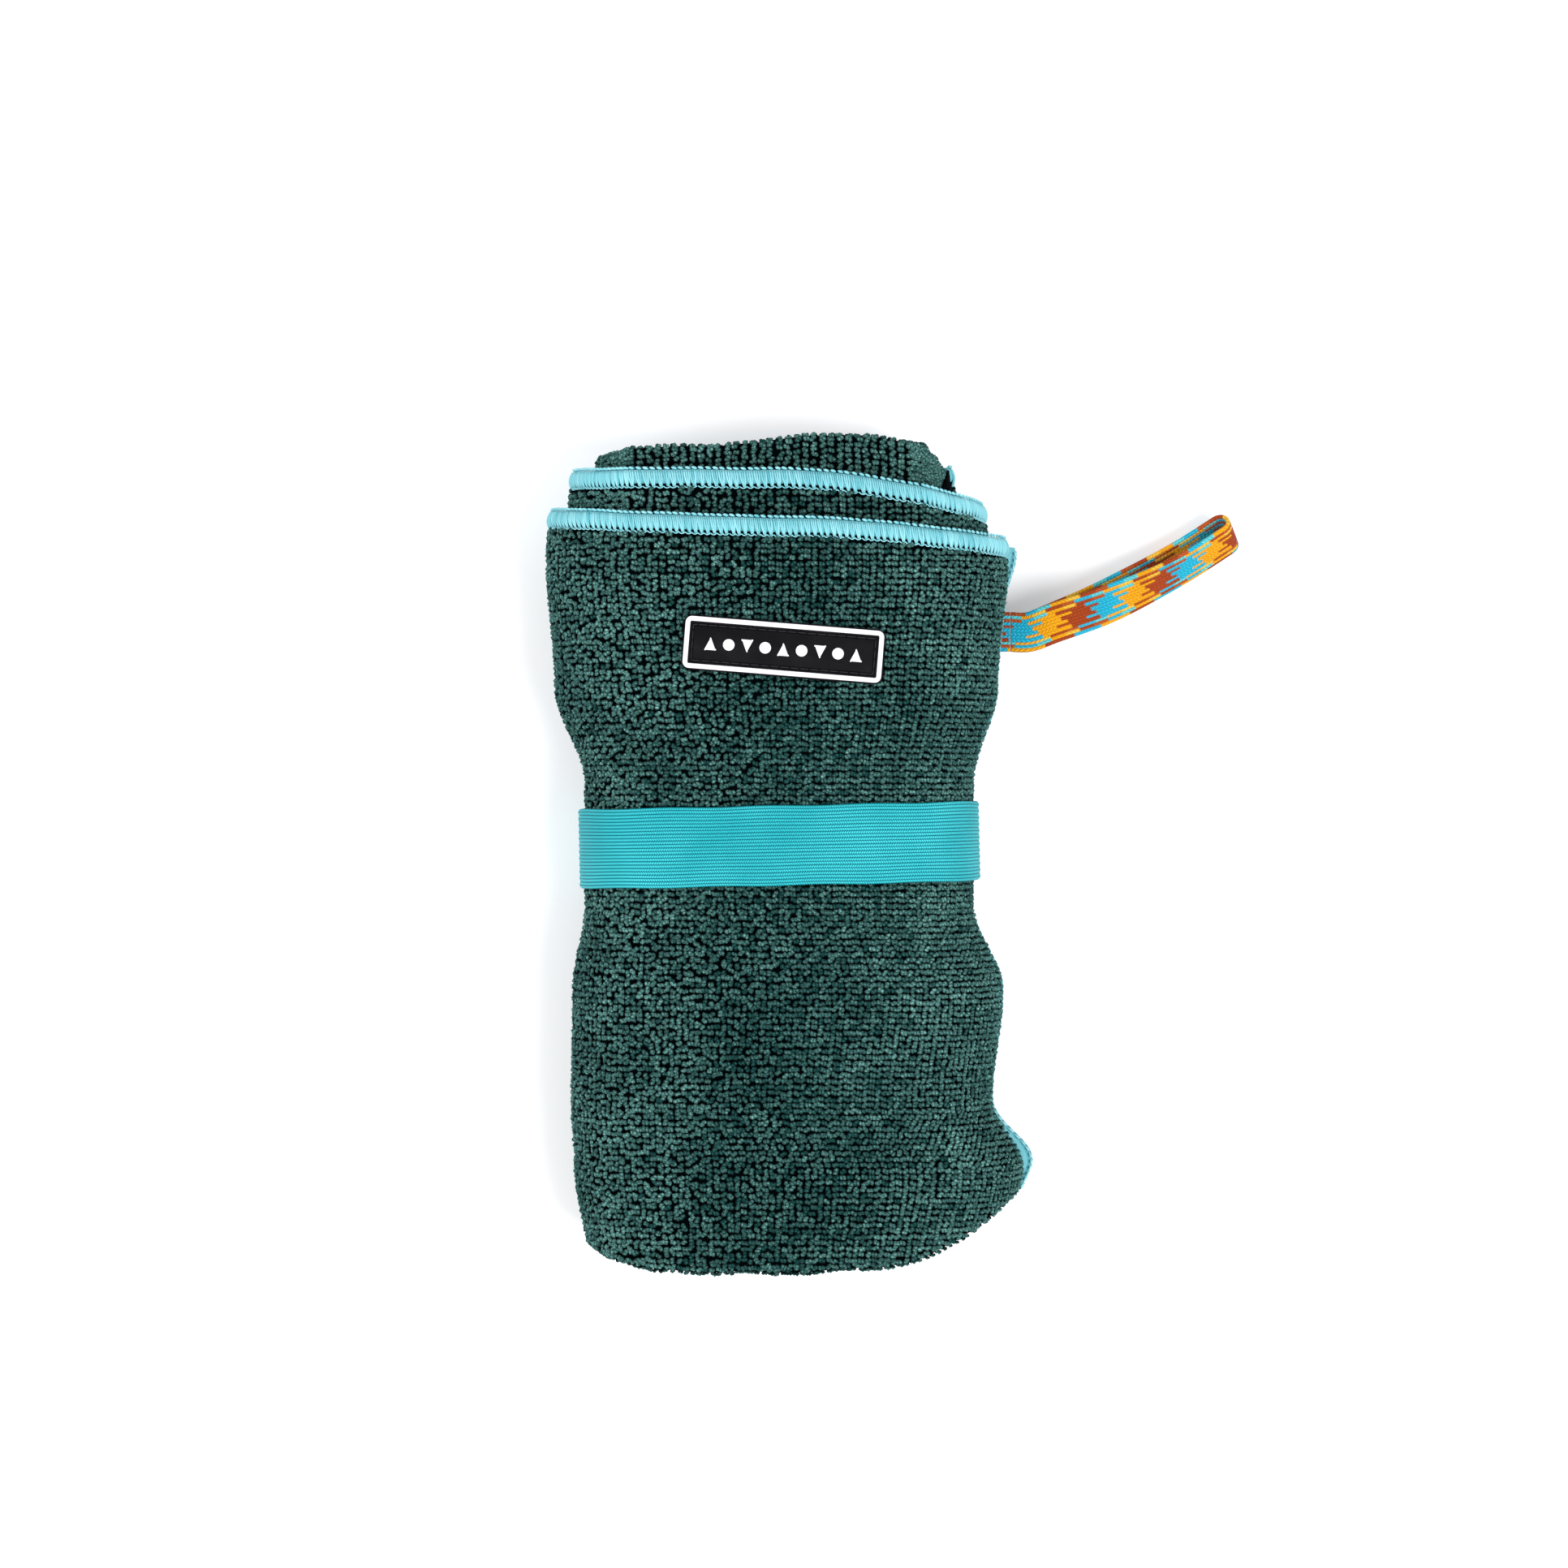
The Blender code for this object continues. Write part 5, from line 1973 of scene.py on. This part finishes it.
    def tape(self, places: Array, wide: Array, face: Array, start: float) -> Surface:
        """The tape's skin: a thin section with round edges, ribbed across by its strands.

        Args:
            places: the sections' middles.
            wide: the way of each one's width.
            face: the way of each one's face.
            start: how far into its pattern the tape starts.

        Returns:
            The skin, with its dye and its places on the cloth.
        """
        run = start + np.append(0, np.cumsum(np.linalg.norm(np.diff(places, axis=0), axis=1)))
        across = np.linspace(-1, 1, self.strands * 4 + 1)
        arch = np.abs(np.sin((across + 1) / 2 * self.strands * np.pi)) ** 0.8
        edge = np.sqrt(np.clip(1 - np.abs(across) ** 14, 0.02, 1))
        high = (self.thick / 2) * edge * (0.86 + 0.14 * arch)
        side = np.concatenate([across, across[::-1]]) * self.width / 2
        rise = np.concatenate([high, -high[::-1]])
        sections = places[:, None] + wide[:, None] * side[None, :, None] + face[:, None] * rise[None, :, None]
        around = np.append(side, side[0]) + self.width / 2
        made = loft(sections, False, run, around)
        made.marks["dye"] = self.dye(run, side).reshape(-1, 4)
        return made

    def dye(self, run: Array, side: Array) -> Array:
        """Each strand's colour: patches in turn along it, set off forwards and back in alternate strands.

        The set-off grows from the middle strands to the edges, which draws the patches out into long tongues.

        Args:
            run: how far along the tape each section is.
            side: how far across it each of a section's points is.

        Returns:
            Colours with alpha, (sections, points, 4).
        """
        strand = np.clip(np.floor((side / self.width + 0.5) * self.strands), 0, self.strands - 1)
        far = np.abs(strand - (self.strands - 1) / 2) / ((self.strands - 1) / 2)
        sign = np.where(strand % 2 == 0, 1.0, -1.0)
        middle, more, power, rough = self.set_off
        set_off = sign * (middle + more * far**power) + rough * np.sin(strand * 12.9898 + 1.0)
        phase = (run[:, None] + self.first_patch) / self.patch + set_off[None]
        which = np.floor(phase).astype(int) % 3
        dyes, tints = np.array(self.dyes), np.array(self.tints)
        pale = (np.sin(strand * 7.1) > 0.2)[None] & (far > 0.5)[None] & (phase - np.floor(phase) > 0.55)
        colour = np.where(pale[..., None], tints[which], dyes[which])
        return np.concatenate([colour, np.ones((*which.shape, 1))], -1)

    def tail(self, name: str, node: str, root: Array, sign: int) -> None:
        """One sewn tail, from the turn behind it out to the line that the eye swings on.

        Args:
            name: the piece's name.
            node: the frame's node that it stands for.
            root: midway between the legs where they are sewn.
            sign: 1 for the upper tail and -1 for the lower.
        """
        low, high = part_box(node)
        x = np.linspace(low[0], high[0], 20)
        places = np.column_stack([x, np.full(20, root[1]), np.full(20, root[2] + sign * self.root_spread)])
        wide = np.broadcast_to(np.array([0.0, 1.0, 0.0]), places.shape)
        made = self.tape(places, wide, np.broadcast_to(UPRIGHT, places.shape), low[0] - high[0])
        add_piece(name, made, TAPE, Body.TOWEL, Slot.TAPE, (node,))

    def tack(self) -> None:
        """The bar tack: a close zigzag of black thread over the tails."""
        low, high = (np.array(corner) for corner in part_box("loop_bar_tack"))
        y = np.linspace(low[1] + 0.3 * MM, high[1] - 0.3 * MM, self.tack_stitches)
        share = np.linspace(0, 1, 5)
        x = low[0] + (high[0] - low[0]) * (0.08 + 0.84 * share)[None] + 0 * y[:, None]
        z = (low[2] + high[2]) / 2 + 0.25 * MM * np.sin(np.pi * share)[None] + 0 * x
        points = np.stack([x, y[:, None] + 0.2 * MM * share[None], z], -1)
        made = toned(tubes(points, np.broadcast_to(UPRIGHT, points.shape), self.tack_thread), 0.4)
        add_piece("loop_tack_stitches", made, BLACK_THREAD, Body.TOWEL, Slot.BLACK_THREAD, ("loop_bar_tack",))


# ---- The studio ----


@dataclass
class Studio:
    """A pale floor, soft light from both sides, and a camera straight above.

    Attributes:
        aim: the place that the camera stands over, and height how high.
        floor_colour: the floor's, and floor_glow its own light and how strong that is.
        sky: the surround's colour and strength.
        lit: the place that the lamps point at.
        lamps: each lamp's name, place, size and power.
    """

    aim: tuple[float, float] = (-0.3 * MM, 21.6 * MM)
    height: float = 1433 * MM
    lens: float = 100.0
    floor_size: float = 6.0
    floor_colour: Colour = (0.93, 0.93, 0.935)
    floor_glow: tuple[Colour, float] = ((0.97, 0.965, 1.0), 0.13)
    sky: tuple[Colour, float] = ((0.97, 0.98, 1.0), 0.72)
    lit: Triple = (0.0, 0.02, 0.03)
    lamps: tuple[tuple[str, Triple, float, float], ...] = (
        ("key", (0.8, -0.4, 1.5), 0.9, 22.0),
        ("fill", (-1.0, 0.2, 1.2), 1.4, 13.0),
    )

    def build(self) -> None:
        """Makes the floor, the lights and the camera."""
        scene = bpy.context.scene
        scene.view_settings.view_transform = "Standard"
        self.camera(scene)
        self.floor()
        self.lights(scene)

    def camera(self, scene: bpy.types.Scene) -> None:
        """The camera looks straight down, with the roll's length upright in its view.

        Args:
            scene: the scene that it belongs to.
        """
        data = bpy.data.cameras.new("camera")
        data.lens, data.sensor_width = self.lens, 36.0
        data.clip_end = 20.0
        made = bpy.data.objects.new("camera", data)
        made.location = (*self.aim, self.height)
        scene.collection.objects.link(made)
        scene.camera = made

    def floor(self) -> None:
        """A plain near-white floor."""
        half = self.floor_size / 2
        mesh = bpy.data.meshes.new("floor")
        corners = [(-half, -half, 0), (half, -half, 0), (half, half, 0), (-half, half, 0)]
        mesh.from_pydata(corners, [], [(0, 1, 2, 3)])
        made = bpy.data.materials.new("pale_floor")
        made.use_nodes = True
        shader = made.node_tree.nodes["Principled BSDF"]
        glow, strength = self.floor_glow
        shader.inputs["Base Color"].default_value = (*self.floor_colour, 1)
        shader.inputs["Roughness"].default_value = 0.9
        shader.inputs["Specular IOR Level"].default_value = 0.2
        shader.inputs["Emission Color"].default_value = (*glow, 1)
        shader.inputs["Emission Strength"].default_value = strength
        mesh.materials.append(made)
        floor = bpy.data.objects.new("floor", mesh)
        bpy.context.scene.collection.objects.link(floor)

    def lights(self, scene: bpy.types.Scene) -> None:
        """An even white surround, a broad lamp to the lower right and a wider, weaker one to the left.

        Args:
            scene: the scene that they belong to.
        """
        world = bpy.data.worlds.new("surround")
        world.use_nodes = True
        backdrop = world.node_tree.nodes["Background"]
        backdrop.inputs["Color"].default_value = (*self.sky[0], 1)
        backdrop.inputs["Strength"].default_value = self.sky[1]
        scene.world = world
        for name, place, size, power in self.lamps:
            data = bpy.data.lights.new(name, "AREA")
            data.shape, data.size, data.energy = "DISK", size, power
            lamp = bpy.data.objects.new(name, data)
            lamp.location = place
            away = np.array(place) - np.array(self.lit)
            down, round_by = math.acos(away[2] / np.linalg.norm(away)), math.atan2(away[1], away[0])
            lamp.rotation_euler = (down, 0.0, round_by + math.pi / 2)
            scene.collection.objects.link(lamp)


def main() -> None:
    """Builds the studio first, then the loop, the hems, the cloth, the band and the badge."""
    logging.basicConfig(level=logging.INFO, format="%(name)s: %(message)s")
    roll = Roll()
    Studio().build()
    HangingLoop().build()
    hems = OverlockHems(roll).build()
    TowelCloth(roll, FoldedStrip(roll)).build(hems)
    ElasticBand(roll).build()
    RubberBadge().build()
    bpy.context.view_layer.update()


if __name__ == "__main__":
    main()
